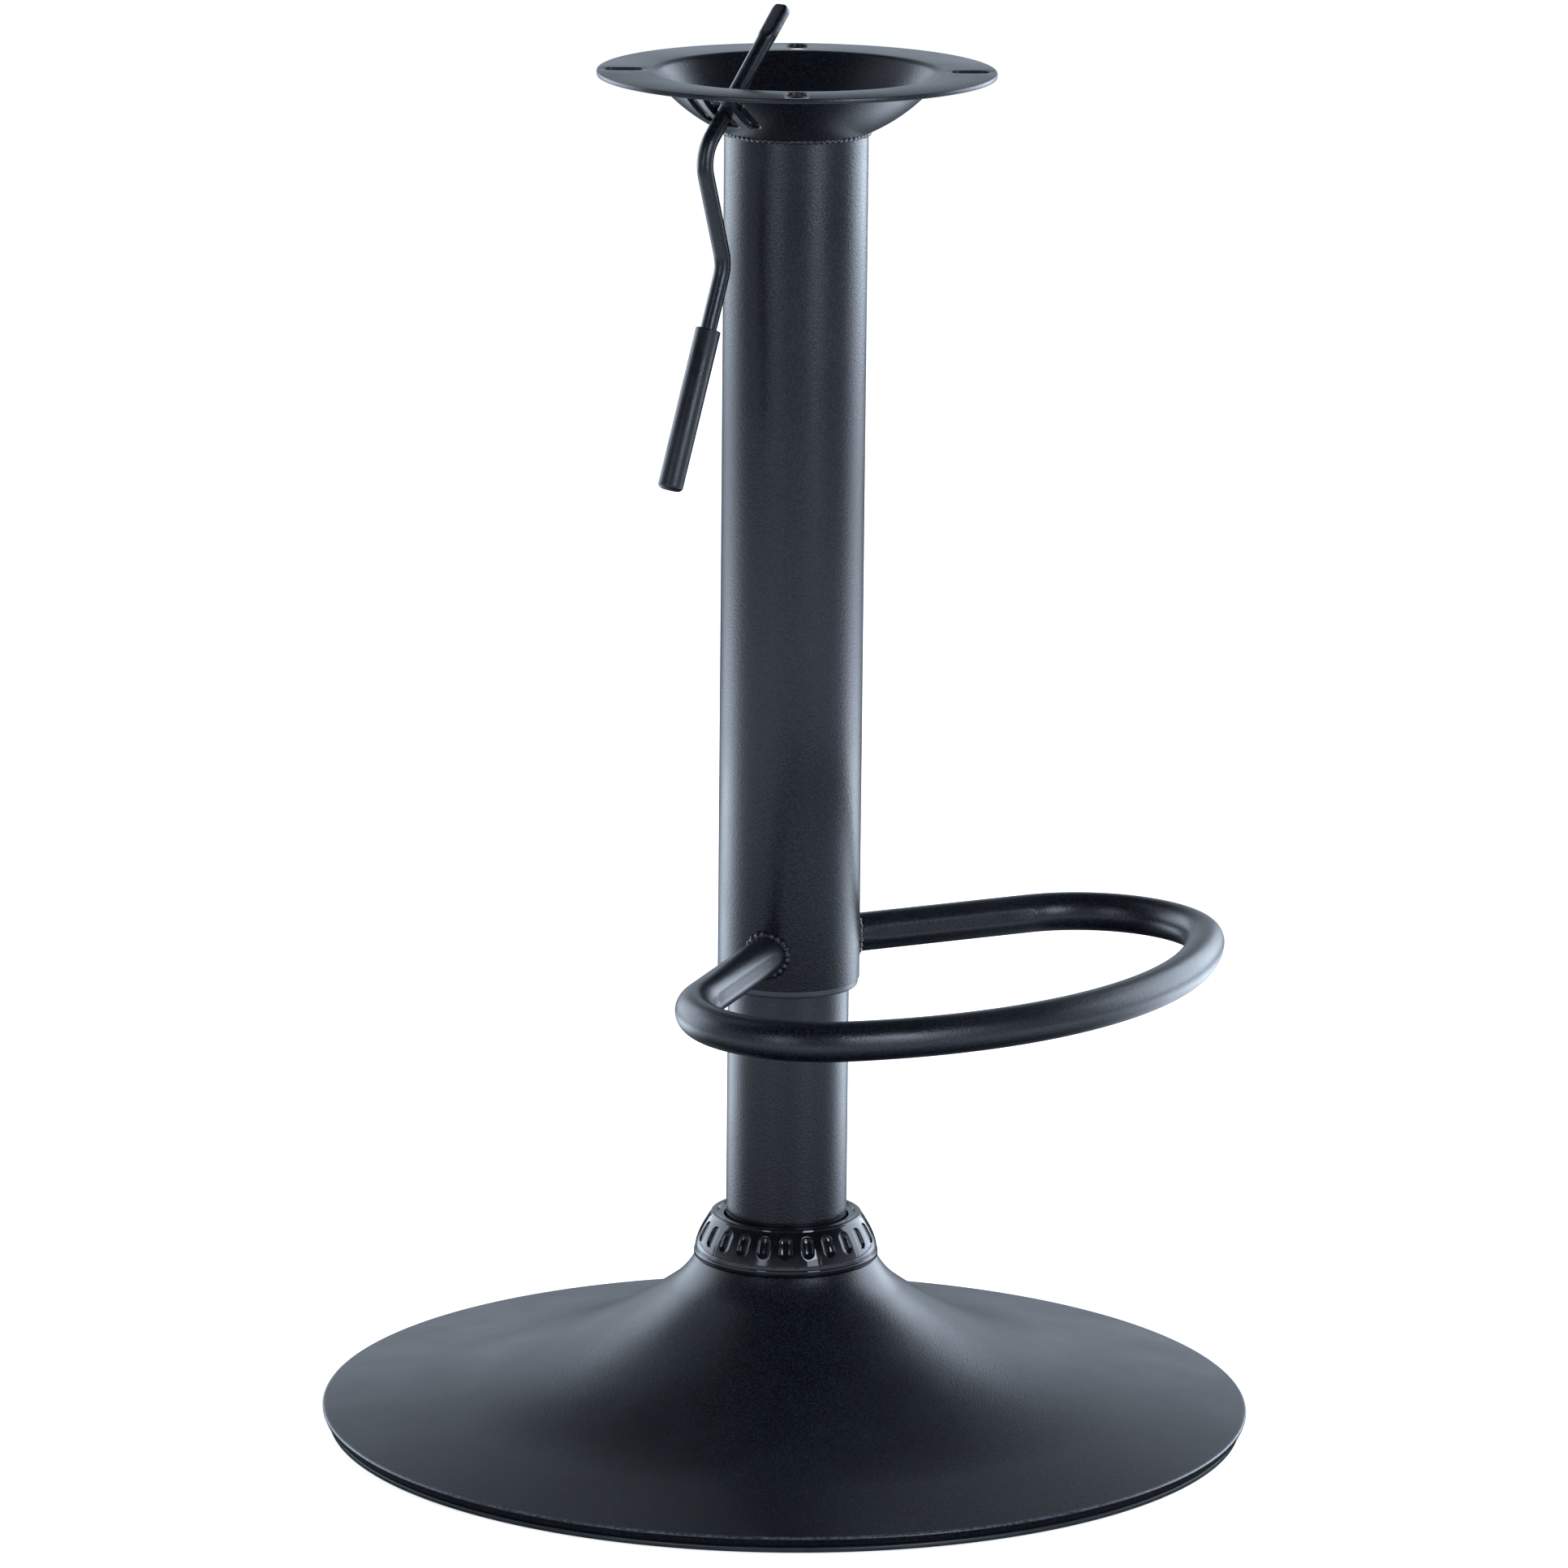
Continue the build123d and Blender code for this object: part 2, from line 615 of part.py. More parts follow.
def seat_plate():
    """Flange and bowl pressed from one sheet, slotted for bolts and lever, welded to the sleeve."""
    round_z = BOWL_CENTRE_Z - FLANGE_Z + MOUTH_ROUND
    round_r = sqrt((BOWL_INNER_R + MOUTH_ROUND) ** 2 - round_z**2)
    mouth_turn = degrees(atan2(round_r, round_z))
    hole_turn = degrees(atan2(BOWL_HOLE_R, BOWL_CENTRE_Z - BOWL_HOLE_Z))
    flange = Line((FLANGE_R, FLANGE_Z), (round_r, FLANGE_Z))
    mouth = JernArc(flange @ 1, flange % 1, MOUTH_ROUND, mouth_turn)
    bowl = JernArc(mouth @ 1, mouth % 1, BOWL_INNER_R, hole_turn - mouth_turn)
    plate = thicken([flange, mouth, bowl], PLATE_SHEET, Side.LEFT)

    bolt_slot = Pos(0, 0, FLANGE_Z) * extrude(
        SlotOverall(BOLT_SLOT_LENGTH, BOLT_SLOT_WIDTH), PLATE_SHEET * 2, both=True
    )
    plate -= PolarLocations(BOLT_CIRCLE_R, BOLT_SLOTS) * bolt_slot

    out = lever_direction()
    across = heading(LEVER_TURN).cross(Vector(0, 0, 1))
    wall = Plane(Vector(0, 0, BOWL_CENTRE_Z) + out * BOWL_R, x_dir=out.cross(across), z_dir=out)
    side_shift = LEVER_SLOT_WIDTH / 2 + STRIP_WIDTH + SIDE_SLOT_WIDTH / 2
    side_slot = RectangleRounded(LEVER_SLOT_LENGTH, SIDE_SLOT_WIDTH, SLOT_CORNER_R)
    slots = [
        RectangleRounded(LEVER_SLOT_LENGTH, LEVER_SLOT_WIDTH, SLOT_CORNER_R),
        Pos(0, side_shift) * side_slot,
        Pos(0, -side_shift) * side_slot,
    ]
    for slot in slots:
        plate -= extrude(wall * slot, PLATE_SHEET * 3, both=True)

    weld = Pos(0, 0, SLEEVE_TOP_Z) * Torus(SLEEVE_R + PART_GAP, WELD_R)
    seat = Pos(0, 0, SLEEVE_TOP_Z) * Cylinder(SLEEVE_R + PART_GAP, WELD_R * 4)
    ball = Pos(0, 0, BOWL_CENTRE_Z) * Sphere((BOWL_INNER_R + BOWL_R) / 2)
    return plate + (weld - seat - ball)


def footrest():
    """Bent tube loop with radial arms, coped to the sleeve and welded all round."""
    front_centre = FOOT_REACH - FOOT_FRONT_R
    corner_x = FOOT_HALF_WIDTH - FOOT_CORNER_R
    spread = FOOT_FRONT_R - FOOT_CORNER_R
    corner_y = front_centre + sqrt(spread**2 - corner_x**2)
    corner_far = hypot(corner_x, corner_y)
    arm_length = sqrt(corner_far**2 - FOOT_CORNER_R**2)
    arm_angle = degrees(atan2(corner_y, corner_x) - atan2(FOOT_CORNER_R, arm_length))
    front_half = degrees(atan2(corner_x, corner_y - front_centre))
    corner_turn = 180 - front_half - arm_angle
    arm = Vector(cos(radians(arm_angle)), sin(radians(arm_angle)))

    level = Plane((0, 0, FOOT_Z), x_dir=heading(FOOT_TURN).cross(Vector(0, 0, 1)), z_dir=(0, 0, 1))
    inside = SLEEVE_BORE_R - FOOT_TUBE_R
    first = Line(arm * inside, arm * arm_length)
    corner = JernArc(first @ 1, first % 1, FOOT_CORNER_R, corner_turn)
    front = JernArc(corner @ 1, corner % 1, FOOT_FRONT_R, 2 * front_half)
    far_corner = JernArc(front @ 1, front % 1, FOOT_CORNER_R, corner_turn)
    last = Line(far_corner @ 1, Vector(-arm.X, arm.Y) * inside)
    path = level * Wire([first, corner, front, far_corner, last])

    end = Plane(path @ 0, z_dir=path % 0)
    loop = sweep(end * Circle(FOOT_TUBE_R), path)
    for place in (0, 1):
        direction = (path @ place - Vector(0, 0, FOOT_Z)).normalized()
        ring = Plane(Vector(0, 0, FOOT_Z) + direction * SLEEVE_R, z_dir=direction)
        loop += ring * Torus(FOOT_TUBE_R, WELD_R)
    bore = sweep(end * Circle(FOOT_TUBE_R - FOOT_TUBE_WALL), path)
    sleeve = Pos(0, 0, FOOT_Z) * Cylinder(SLEEVE_R + PART_GAP, FOOT_TUBE_R * 4)
    return loop - bore - sleeve


def lever_points():
    """Corner points of the lever, tip first, in the upright plane that holds it."""
    down = radians(LEVER_PIVOT_ANGLE)
    outward = Vector(sin(down), -cos(down))
    pivot = Vector(0, BOWL_CENTRE_Z) + outward * LEVER_PIVOT_R
    straight = outward.rotate(Axis.Z, LEVER_HANG)
    first_bend = pivot + straight * LEVER_REACH
    drop = straight.rotate(Axis.Z, -LEVER_BEND_OUT)
    second_bend = first_bend + drop * LEVER_DROP
    handle = drop.rotate(Axis.Z, LEVER_BEND_BACK)
    return [pivot - straight * LEVER_INNER, first_bend, second_bend, second_bend + handle * LEVER_HANDLE]


def lever_plane():
    """Upright plane of the lever: x outwards from the column axis, y up."""
    out = heading(LEVER_TURN)
    return Plane((0, 0, 0), x_dir=out, z_dir=out.cross(Vector(0, 0, 1)))


def lever_rod():
    """Bent rod with a flattened tip and ears pinched out that rock on the strips of the bowl."""
    tip, first_bend, second_bend, end = lever_points()
    inward = (tip - first_bend).normalized()
    handle = (end - second_bend).normalized()
    start = tip - inward * (TIP_LENGTH - TIP_THICK / 2)
    stop = end - handle * GRIP_END_WALL
    plane = lever_plane()
    path = plane * FilletPolyline(start, first_bend, second_bend, stop, radius=LEVER_BEND_R)
    rod = sweep(Plane(path @ 0, z_dir=path % 0) * Circle(LEVER_R), path)

    across = plane.z_dir
    flat_foot = plane.from_local_coords(tip - inward * TIP_LENGTH)
    flat_plane = Plane(flat_foot, x_dir=across, z_dir=plane.from_local_coords(inward))
    rod += extrude(flat_plane * RectangleRounded(TIP_WIDTH, TIP_THICK, TIP_ROUND), TIP_LENGTH)

    pivot = plane.from_local_coords(tip - inward * LEVER_INNER)
    ears = Plane(pivot, z_dir=across) * Cylinder(LEVER_EAR_R, LEVER_EAR_SPAN)
    return rod + ears


def lever_grip():
    """Moulded grip with a blind hole, pushed on the end of the rod."""
    _, _, second_bend, end = lever_points()
    handle = (end - second_bend).normalized()
    plane = lever_plane()
    mouth = Plane(
        plane.from_local_coords(end - handle * GRIP_LENGTH),
        z_dir=plane.from_local_coords(handle),
    )
    bore_r = LEVER_R + PART_GAP
    bore_end = GRIP_LENGTH - GRIP_END_WALL
    body = turned([
        (0, bore_end),
        (bore_r, bore_end),
        (bore_r, 0),
        (GRIP_R, 0),
        (GRIP_R, GRIP_LENGTH),
        (0, GRIP_LENGTH),
    ], [0, 0, 0, GRIP_ROUND / 4, GRIP_ROUND, 0])
    return mouth * body


PIECES = [
    base_dish,
    floor_ring,
    hub_socket,
    hub_brace,
    neck_collar,
    column_tube,
    column_end_plate,
    guide_sleeve,
    bearing_lower_race,
    bearing_balls,
    bearing_cage,
    bearing_upper_race,
    piston_rod,
    piston,
    piston_seal,
    rubber_bumper,
    rod_washer,
    retaining_clip,
    pressure_tube,
    inner_cylinder,
    rod_guide,
    rod_seal,
    valve_body,
    release_button,
    taper_socket,
    sleeve_tube,
    sleeve_bush,
    seat_plate,
    footrest,
    lever_rod,
    lever_grip,
]

os.makedirs("parts", exist_ok=True)
for piece in PIECES:
    export_step(piece(), f"parts/{piece.__name__}.step")
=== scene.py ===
from math import atan2, cos, degrees, pi, radians, sin, sqrt, tan

import bmesh
import bpy
from mathutils import Matrix, Vector


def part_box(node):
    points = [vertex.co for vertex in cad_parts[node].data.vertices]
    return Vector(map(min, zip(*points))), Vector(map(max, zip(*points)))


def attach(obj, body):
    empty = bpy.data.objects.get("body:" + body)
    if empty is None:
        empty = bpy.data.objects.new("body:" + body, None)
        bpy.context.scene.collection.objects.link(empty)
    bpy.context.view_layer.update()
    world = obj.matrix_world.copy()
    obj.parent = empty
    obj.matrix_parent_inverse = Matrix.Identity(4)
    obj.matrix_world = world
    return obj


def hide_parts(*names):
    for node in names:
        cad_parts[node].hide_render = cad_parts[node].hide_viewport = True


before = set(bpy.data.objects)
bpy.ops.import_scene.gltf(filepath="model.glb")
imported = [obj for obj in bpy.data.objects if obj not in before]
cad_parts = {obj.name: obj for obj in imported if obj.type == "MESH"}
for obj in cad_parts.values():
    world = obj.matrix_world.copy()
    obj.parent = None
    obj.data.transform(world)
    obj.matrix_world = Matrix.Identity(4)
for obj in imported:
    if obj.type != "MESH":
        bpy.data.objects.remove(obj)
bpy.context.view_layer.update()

# Foot of the stool: a dish spun from 1.5 mm steel sheet, with a steep neck and a rim rolled under.
# Black powder coat, baked on, gives it a fine pebbled skin. It is welded to the hub inside its neck.

MM = 0.001

BASE_R = 192.5
BASE_SHEET = 1.5
COLUMN_R = 25.0
NECK_TOP_Z = 70.8
SHOULDER_R = 36.4
SHOULDER_ROUND = 1.8
NECK_STEEP = 62.0
NECK_CURVE_R = 36.0
FLARE_STEEP = 36.0
RIM_SLOPE = 10.0
RIM_BEAD_R = 1.85
RIM_BEAD_Z = 5.35
RIM_CREASE_R = 0.9       # the fold at the top of the rim is pressed sharp
RIM_TUCK = 25.0          # degrees that the rim's side leans in below the fold
RIM_UNDER_R = 0.6
HEM_LENGTH = 9.0
NECK_START = (COLUMN_R + 0.3, NECK_TOP_Z)    # the neck's hole clears the column by 0.3 mm

POWDER_COLOUR = (0.0023, 0.0030, 0.0053, 1)
POWDER_FLECK = (0.03, 0.036, 0.048, 1)
POWDER_SHEEN = (0.98, 0.96, 1.0, 1)    # the coat reflects a little blue
POWDER_GRAIN = 1050.0    # pebbles per metre
# pale colour of the painted highlight along the rim's crease
RIM_HIGHLIGHT_COLOUR = (0.075, 0.085, 0.105, 1)


def walk(start, turn, moves):
    """Points, each with its direction, along runs (length,) and tangent arcs (radius, degrees, steps)."""
    place = Vector(start)
    angle = radians(turn)
    points = [(place.copy(), angle)]
    for move in moves:
        if len(move) == 1:
            place = place + Vector((cos(angle), sin(angle))) * move[0]
            points.append((place.copy(), angle))
            continue
        radius, bend, steps = move
        side = 1 if bend > 0 else -1
        centre = place + Vector((-sin(angle), cos(angle))) * radius * side
        for step in range(1, steps + 1):
            now = angle + radians(bend) * step / steps
            points.append((centre + Vector((sin(now), -cos(now))) * radius * side, now))
        angle += radians(bend)
        place = points[-1][0].copy()
    return points


def sheet_outline(points, sheet):
    """Closed outline of a sheet that lies on the right of a walk, or on its left if it is negative."""
    near = [point for point, angle in points]
    far = [point + Vector((sin(angle), -cos(angle))) * sheet for point, angle in points]
    return near + far[::-1]


def smooth(mesh, sharp):
    """Shades a mesh smooth, except at edges with a turn of more than this many degrees."""
    mesh.shade_smooth()
    mesh.set_sharp_from_angle(angle=radians(sharp))


def mesh_of(name, shape, sharp=32):
    """Mesh with its doubles merged, its faces outwards, and smooth except at its sharp edges."""
    bmesh.ops.remove_doubles(shape, verts=shape.verts, dist=1e-7)
    bmesh.ops.recalc_face_normals(shape, faces=shape.faces)
    mesh = bpy.data.meshes.new(name)
    shape.to_mesh(mesh)
    shape.free()
    smooth(mesh, sharp)
    return mesh


def spun(name, outline, steps):
    """Mesh of a closed outline of (radius, height) points, in millimetres, turned about Z."""
    shape = bmesh.new()
    rings = []
    for step in range(steps):
        angle = 2 * pi * step / steps
        places = [(r * cos(angle) * MM, r * sin(angle) * MM, z * MM) for r, z in outline]
        rings.append([shape.verts.new(place) for place in places])
    for step in range(steps):
        here, there = rings[step], rings[(step + 1) % steps]
        for low in range(len(outline)):
            high = (low + 1) % len(outline)
            shape.faces.new((here[low], there[low], there[high], here[high]))
    return mesh_of(name, shape)


def fitted(name, mesh, material, body, slot, *nodes):
    """Object of a finished mesh that moves with its body and stands for its CAD nodes."""
    obj = bpy.data.objects.new(name, mesh)
    bpy.context.scene.collection.objects.link(obj)
    mesh.materials.clear()
    mesh.materials.append(material)
    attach(obj, body)
    if nodes:
        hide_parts(*nodes)


def spun_piece(name, outline, steps, material, body, slot, node):
    """Piece of a closed outline turned about Z, which stands for one CAD node."""
    fitted(name, spun(name, outline, steps), material, body, slot, node)


def feed(tree, inputs, values):
    """Sets inputs to values, or links them to other nodes' outputs."""
    for key, value in dict(values).items():
        if isinstance(value, bpy.types.NodeSocket):
            tree.links.new(value, inputs[key])
        else:
            inputs[key].default_value = value


def add(tree, kind, inputs=(), **settings):
    """New node with its settings and its inputs."""
    node = tree.nodes.new(kind)
    for key, value in settings.items():
        setattr(node, key, value)
    feed(tree, node.inputs, inputs)
    return node


def calc(tree, operation, *values):
    """Result of a sum on these values."""
    return add(tree, "ShaderNodeMath", enumerate(values), operation=operation).outputs[0]


def scaled(tree, vector, factor):
    """Vector or colour times a number."""
    return add(tree, "ShaderNodeVectorMath", {0: vector, "Scale": factor}, operation="SCALE").outputs[0]


def length_of(tree, vector):
    """Length of a vector."""
    return add(tree, "ShaderNodeVectorMath", {0: vector}, operation="LENGTH").outputs["Value"]


def ramp(tree, value, *ends, **settings):
    """Value carried over from between two ends to between two others, or to between 0 and 1."""
    return add(tree, "ShaderNodeMapRange", enumerate((value, *ends)), **settings).outputs[0]


def mixed(tree, share, first, second, colours=False):
    """Mix of two numbers or of two colours."""
    kind, place, result = ("RGBA", 6, 2) if colours else ("FLOAT", 2, 0)
    inputs = {0: share, place: first, place + 1: second}
    return add(tree, "ShaderNodeMix", inputs, data_type=kind).outputs[result]


def noise(tree, place, scale, detail, twist=0.0, **settings):
    """Noise of so many waves per metre, with finer detail on it."""
    inputs = {"Vector": place, "Scale": scale, "Detail": detail, "Distortion": twist}
    return add(tree, "ShaderNodeTexNoise", inputs, **settings).outputs["Fac"]


def object_place(tree):
    """Place on the object, in its own coordinates."""
    return add(tree, "ShaderNodeTexCoord").outputs["Object"]


def off_axis(tree, place):
    """Distance of a place from the Z axis, and its height."""
    parts = add(tree, "ShaderNodeSeparateXYZ", {0: place}).outputs
    flat = add(tree, "ShaderNodeCombineXYZ", {0: parts[0], 1: parts[1]}).outputs[0]
    return length_of(tree, flat), parts[2]


def group(name, kind, takes, gives):
    """New node group that takes named values, or sockets of a named kind, and gives sockets."""
    kinds = {float: "NodeSocketFloat", int: "NodeSocketInt", tuple: "NodeSocketColor"}
    tree = bpy.data.node_groups.new(name, kind)
    for title, value in takes.items():
        socket = value if isinstance(value, str) else kinds[type(value)]
        made = tree.interface.new_socket(title, in_out="INPUT", socket_type=socket)
        if socket != value:
            made.default_value = value
    for title, socket in gives.items():
        tree.interface.new_socket(title, in_out="OUTPUT", socket_type=socket)
    return tree, tree.nodes.new("NodeGroupInput").outputs, tree.nodes.new("NodeGroupOutput").inputs


def skin_group(name, takes):
    """New node group for a skin: its colour, its roughness and the height of its grain."""
    gives = {"Colour": "NodeSocketColor", "Roughness": "NodeSocketFloat", "Height": "NodeSocketFloat"}
    return group(name, "ShaderNodeTree", takes, gives)


def pebble_group():
    """Baked powder: pebbles with finer grain on them, sparse pale flecks and a faint cloudiness."""
    takes = {"Colour": POWDER_COLOUR, "Fleck": POWDER_FLECK, "Roughness": 0.36, "Grain": POWDER_GRAIN}
    tree, given, result = skin_group("powder_pebble", takes)
    place = object_place(tree)
    pebble = noise(tree, place, given["Grain"], 1.5)
    fine = noise(tree, place, calc(tree, "MULTIPLY", given["Grain"], 2.7), 1.0)
    cloud = noise(tree, place, 26.0, 3.0)
    fleck_scale = calc(tree, "MULTIPLY", given["Grain"], 1.1)
    cells = add(tree, "ShaderNodeTexVoronoi", {"Vector": place, "Scale": fleck_scale}).outputs
    dot = ramp(tree, cells["Distance"], 0.12, 0.3, 1.0, 0.0)
    picked = add(tree, "ShaderNodeSeparateColor", {0: cells["Color"]}).outputs[0]
    fleck = calc(tree, "MULTIPLY", dot, calc(tree, "GREATER_THAN", picked, 0.7))
    shade = ramp(tree, cloud, 0.3, 0.7, 0.8, 1.2)
    speckle = ramp(tree, pebble, 0.36, 0.64, 0.1, 2.7)
    clouded = scaled(tree, given["Colour"], calc(tree, "MULTIPLY", shade, speckle))
    spread = ramp(tree, cloud, 0.25, 0.75, -0.05, 0.05)
    ground = calc(tree, "MULTIPLY", fine, 0.35)
    feed(tree, result, {
        "Colour": mixed(tree, fleck, clouded, given["Fleck"], colours=True),
        "Roughness": calc(tree, "ADD", given["Roughness"], spread),
        "Height": calc(tree, "MULTIPLY_ADD", pebble, 0.65, ground),
    })
    return tree


PEBBLE = pebble_group()


def skinned(name, skin_tree, skin_values, depth, shine):
    """Material with a skin, its grain this deep in millimetres, and the shader's own values."""
    material = bpy.data.materials.new(name)
    material.use_nodes = True
    tree = material.node_tree
    shader = tree.nodes["Principled BSDF"].inputs
    skin = add(tree, "ShaderNodeGroup", skin_values, node_tree=skin_tree).outputs
    bump = add(tree, "ShaderNodeBump", {"Height": skin["Height"], "Strength": 1.0, "Distance": depth * MM})
    feed(tree, shader, shine)
    feed(tree, shader, {
        "Base Color": skin["Colour"],
        "Roughness": skin["Roughness"],
        "Normal": bump.outputs["Normal"],
    })
    return material


def powder(name, roughness, depth):
    """Powder coat with pebbles of this depth in millimetres."""
    shine = {"Specular IOR Level": 0.5, "Specular Tint": POWDER_SHEEN}
    return skinned(name, PEBBLE, {"Roughness": roughness}, depth, shine)


dish_coat = powder("powder_dish", 0.33, 0.09)

slope = radians(RIM_SLOPE)
steep = radians(FLARE_STEEP)
rim_start = Vector((BASE_R - RIM_BEAD_R + RIM_BEAD_R * sin(slope), RIM_BEAD_Z + RIM_BEAD_R * cos(slope)))
neck_moves = [
    (SHOULDER_R - NECK_START[0],),
    (SHOULDER_ROUND, -NECK_STEEP, 8),
    (NECK_CURVE_R, NECK_STEEP - FLARE_STEEP, 14),
]
flare_start = walk(NECK_START, 0, neck_moves)[-1][0]
corner_rise = flare_start.y - rim_start.y + tan(steep) * flare_start.x - tan(slope) * rim_start.x
corner_r = corner_rise / (tan(steep) - tan(slope))
flare_leg = (corner_r - flare_start.x) / cos(steep)
flare_r = flare_leg / tan((steep - slope) / 2)
skirt = (rim_start.x - corner_r) / cos(slope) - flare_leg
flare_moves = neck_moves + [(flare_r, FLARE_STEEP - RIM_SLOPE, 30), (skirt / 2,), (skirt / 2,)]
bead_line = walk(NECK_START, 0, flare_moves + [(RIM_BEAD_R, RIM_SLOPE - 180, 14), (HEM_LENGTH,)])
crease_run = (RIM_BEAD_R - RIM_CREASE_R) * (1 - sin(slope)) / cos(slope)
crease_z = rim_start.y - crease_run * sin(slope) - RIM_CREASE_R * cos(slope)
tuck = radians(RIM_TUCK)
side_drop = crease_z - RIM_CREASE_R * sin(tuck) - RIM_UNDER_R * (1 - sin(tuck)) - (RIM_BEAD_Z - RIM_BEAD_R)
dish_line = walk(NECK_START, 0, flare_moves + [
    (crease_run,),
    (RIM_CREASE_R, RIM_SLOPE - 90 - RIM_TUCK, 9),
    (side_drop / cos(tuck),),
    (RIM_UNDER_R, RIM_TUCK - 90, 5),
])
dish_outline = [point for point, angle in dish_line]
dish_outline += sheet_outline(bead_line, BASE_SHEET)[len(bead_line) - 1:]


def paint_rim_highlight(material):
    """Painted highlight: the coat's colour turns pale, in specks, along the crease of the rim."""
    tree = material.node_tree
    target = tree.nodes["Principled BSDF"].inputs["Base Color"]
    coat = target.links[0].from_socket
    spot = object_place(tree)
    out, height = off_axis(tree, spot)
    edge = ramp(tree, out, (BASE_R - 1.5) * MM, (BASE_R - 0.7) * MM, 0.0, 1.0)
    above = ramp(tree, height, crease_z * MM, (crease_z + 0.5) * MM, 0.0, 1.0)
    highlight_specks = ramp(tree, noise(tree, spot, 800.0, 1.0), 0.38, 0.62, 0.25, 1.0)
    highlight_mask = calc(tree, "MULTIPLY", calc(tree, "MULTIPLY", edge, above), highlight_specks)
    tree.links.new(mixed(tree, highlight_mask, coat, RIM_HIGHLIGHT_COLOUR, colours=True), target)


# painted highlight along the rim's crease, in the coat's colour
paint_rim_highlight(dish_coat)
spun_piece("base_dish_skin", dish_outline, 224, dish_coat, "base", "powder_black", "base_dish")

# Edging under the rim: a moulded ring of black plastic that the stool stands on, pushed into the rolled hem.
# A narrow groove parts it from the sheet.

RING_OUTER_R = BASE_R - 2.5
RING_NECK_R = BASE_R - 5.5
RING_INNER_R = RING_OUTER_R - 12.0
RING_FOOT_H = 2.2
RING_H = 3.5


def moulded_group():
    """Moulded plastic: fine spark-eroded grain, with faint flow marks."""
    takes = {"Colour": (0.012, 0.013, 0.015, 1), "Roughness": 0.5, "Grain": 2600.0}
    tree, given, result = skin_group("moulded_grain", takes)
    place = object_place(tree)
    flow = noise(tree, place, 60.0, 2.0, twist=1.5)
    shade = ramp(tree, flow, 0.3, 0.7, 0.8, 1.25)
    spread = ramp(tree, flow, 0.3, 0.7, -0.06, 0.06)
    feed(tree, result, {
        "Colour": scaled(tree, given["Colour"], shade),
        "Roughness": calc(tree, "ADD", given["Roughness"], spread),
        "Height": noise(tree, place, given["Grain"], 2.0),
    })
    return tree


MOULDED = moulded_group()


def plastic(name, colour, roughness, grain, depth):
    """Moulded plastic with a grain of so many bumps per metre and this depth in millimetres."""
    values = {"Colour": (*colour, 1), "Roughness": roughness, "Grain": grain}
    return skinned(name, MOULDED, values, depth, {"Specular Tint": POWDER_SHEEN})


ring_outline = [
    (RING_INNER_R, 0.4),
    (RING_INNER_R + 0.4, 0),
    (RING_OUTER_R - 0.6, 0),
    (RING_OUTER_R - 0.15, 0.2),
    (RING_OUTER_R, 0.65),
    (RING_OUTER_R, RING_FOOT_H - 0.6),
    (RING_OUTER_R - 0.15, RING_FOOT_H - 0.18),
    (RING_OUTER_R - 0.6, RING_FOOT_H),
    (RING_NECK_R, RING_FOOT_H),
    (RING_NECK_R, RING_H),
    (RING_INNER_R, RING_H),
]
edging = plastic("edging_plastic", (0.026, 0.029, 0.035), 0.4, 2400.0, 0.02)
spun_piece("floor_ring_edging", ring_outline, 224, edging, "base", "edging_black", "floor_ring")

# Hub and brace under the dish: a turned taper hub, and a pressed plate with round holes from hub to skirt.
# Bare mild steel, welded in and only seen from below, as are the column's end plate and the rod's clip.


def turned_group():
    """Turned or drawn metal: fine lines round the Z axis, and a dull cloudiness of handling."""
    takes = {"Colour": (0.5, 0.5, 0.51, 1), "Roughness": 0.35, "Lines": 1800.0}
    tree, given, result = skin_group("turned_lines", takes)
    place = object_place(tree)
    out, height = off_axis(tree, place)
    across = add(tree, "ShaderNodeCombineXYZ", {0: out, 1: height}).outputs[0]
    lines = noise(tree, across, given["Lines"], 2.0, noise_dimensions="2D")
    shade = ramp(tree, noise(tree, place, 70.0, 4.0), 0.3, 0.7, 0.78, 1.05)
    spread = ramp(tree, lines, 0.25, 0.75, -0.1, 0.1)
    feed(tree, result, {
        "Colour": scaled(tree, given["Colour"], shade),
        "Roughness": calc(tree, "ADD", given["Roughness"], spread),
        "Height": lines,
    })
    return tree


TURNED = turned_group()


def metal(name, colour, roughness, lines, depth):
    """Bare metal with so many tool lines per metre, of this depth in millimetres."""
    values = {"Colour": (*colour, 1), "Roughness": roughness, "Lines": lines}
    return skinned(name, TURNED, values, depth, {"Metallic": 1.0})


def dress(material, *nodes):
    """Gives CAD nodes that keep their own shape their finish."""
    for name in nodes:
        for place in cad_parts[name].material_slots:
            place.material = material


bare_steel = metal("bare_steel", (0.46, 0.46, 0.47), 0.38, 1500.0, 0.012)
dress(bare_steel, "hub_socket", "hub_brace", "column_end_plate", "rod_washer", "retaining_clip")

# Trim collar: an injection moulded ring in gloss black that sits loose on the neck and hides the hub.
# A row of long round-ended recesses runs round its bulged side, above a plain band and a lip.

COLLAR_BOTTOM_R = 38.2
COLLAR_TOP_R = 31.4
COLLAR_H = 18.2
COLLAR_LIP_H = 2.4
COLLAR_LIP_STEP = 0.5
COLLAR_SHOULDER = 5.0    # the side rises this far almost upright, then leans in
COLLAR_WALL = 2.8
COLLAR_TOP_STEP = 1.0
COLLAR_TOP_RIM = 1.7
COLLAR_BORE_R = 25.8
RECESS_COUNT = 24
RECESS_LENGTH = 9.9
RECESS_WIDTH = 5.8
RECESS_RISE = 10.9
SLICE_RINGS = (0.0, 0.15, 0.3, 0.45, 0.6, 0.8)    # shares of the way from a slice's edge to its recess
RECESS_STEPS = [    # growth of the outline and depth below the side: rounded brim, small step, hollow floor
    (0.05, 0.0),
    (-0.16, 0.02),
    (-0.32, 0.10),
    (-0.42, 0.25),
    (-0.52, 0.55),
    (-0.60, 0.68),
    (-0.90, 0.83),
    (-1.30, 0.98),
    (-1.80, 1.10),
    (-2.30, 1.17),
    (-2.70, 1.19),
]


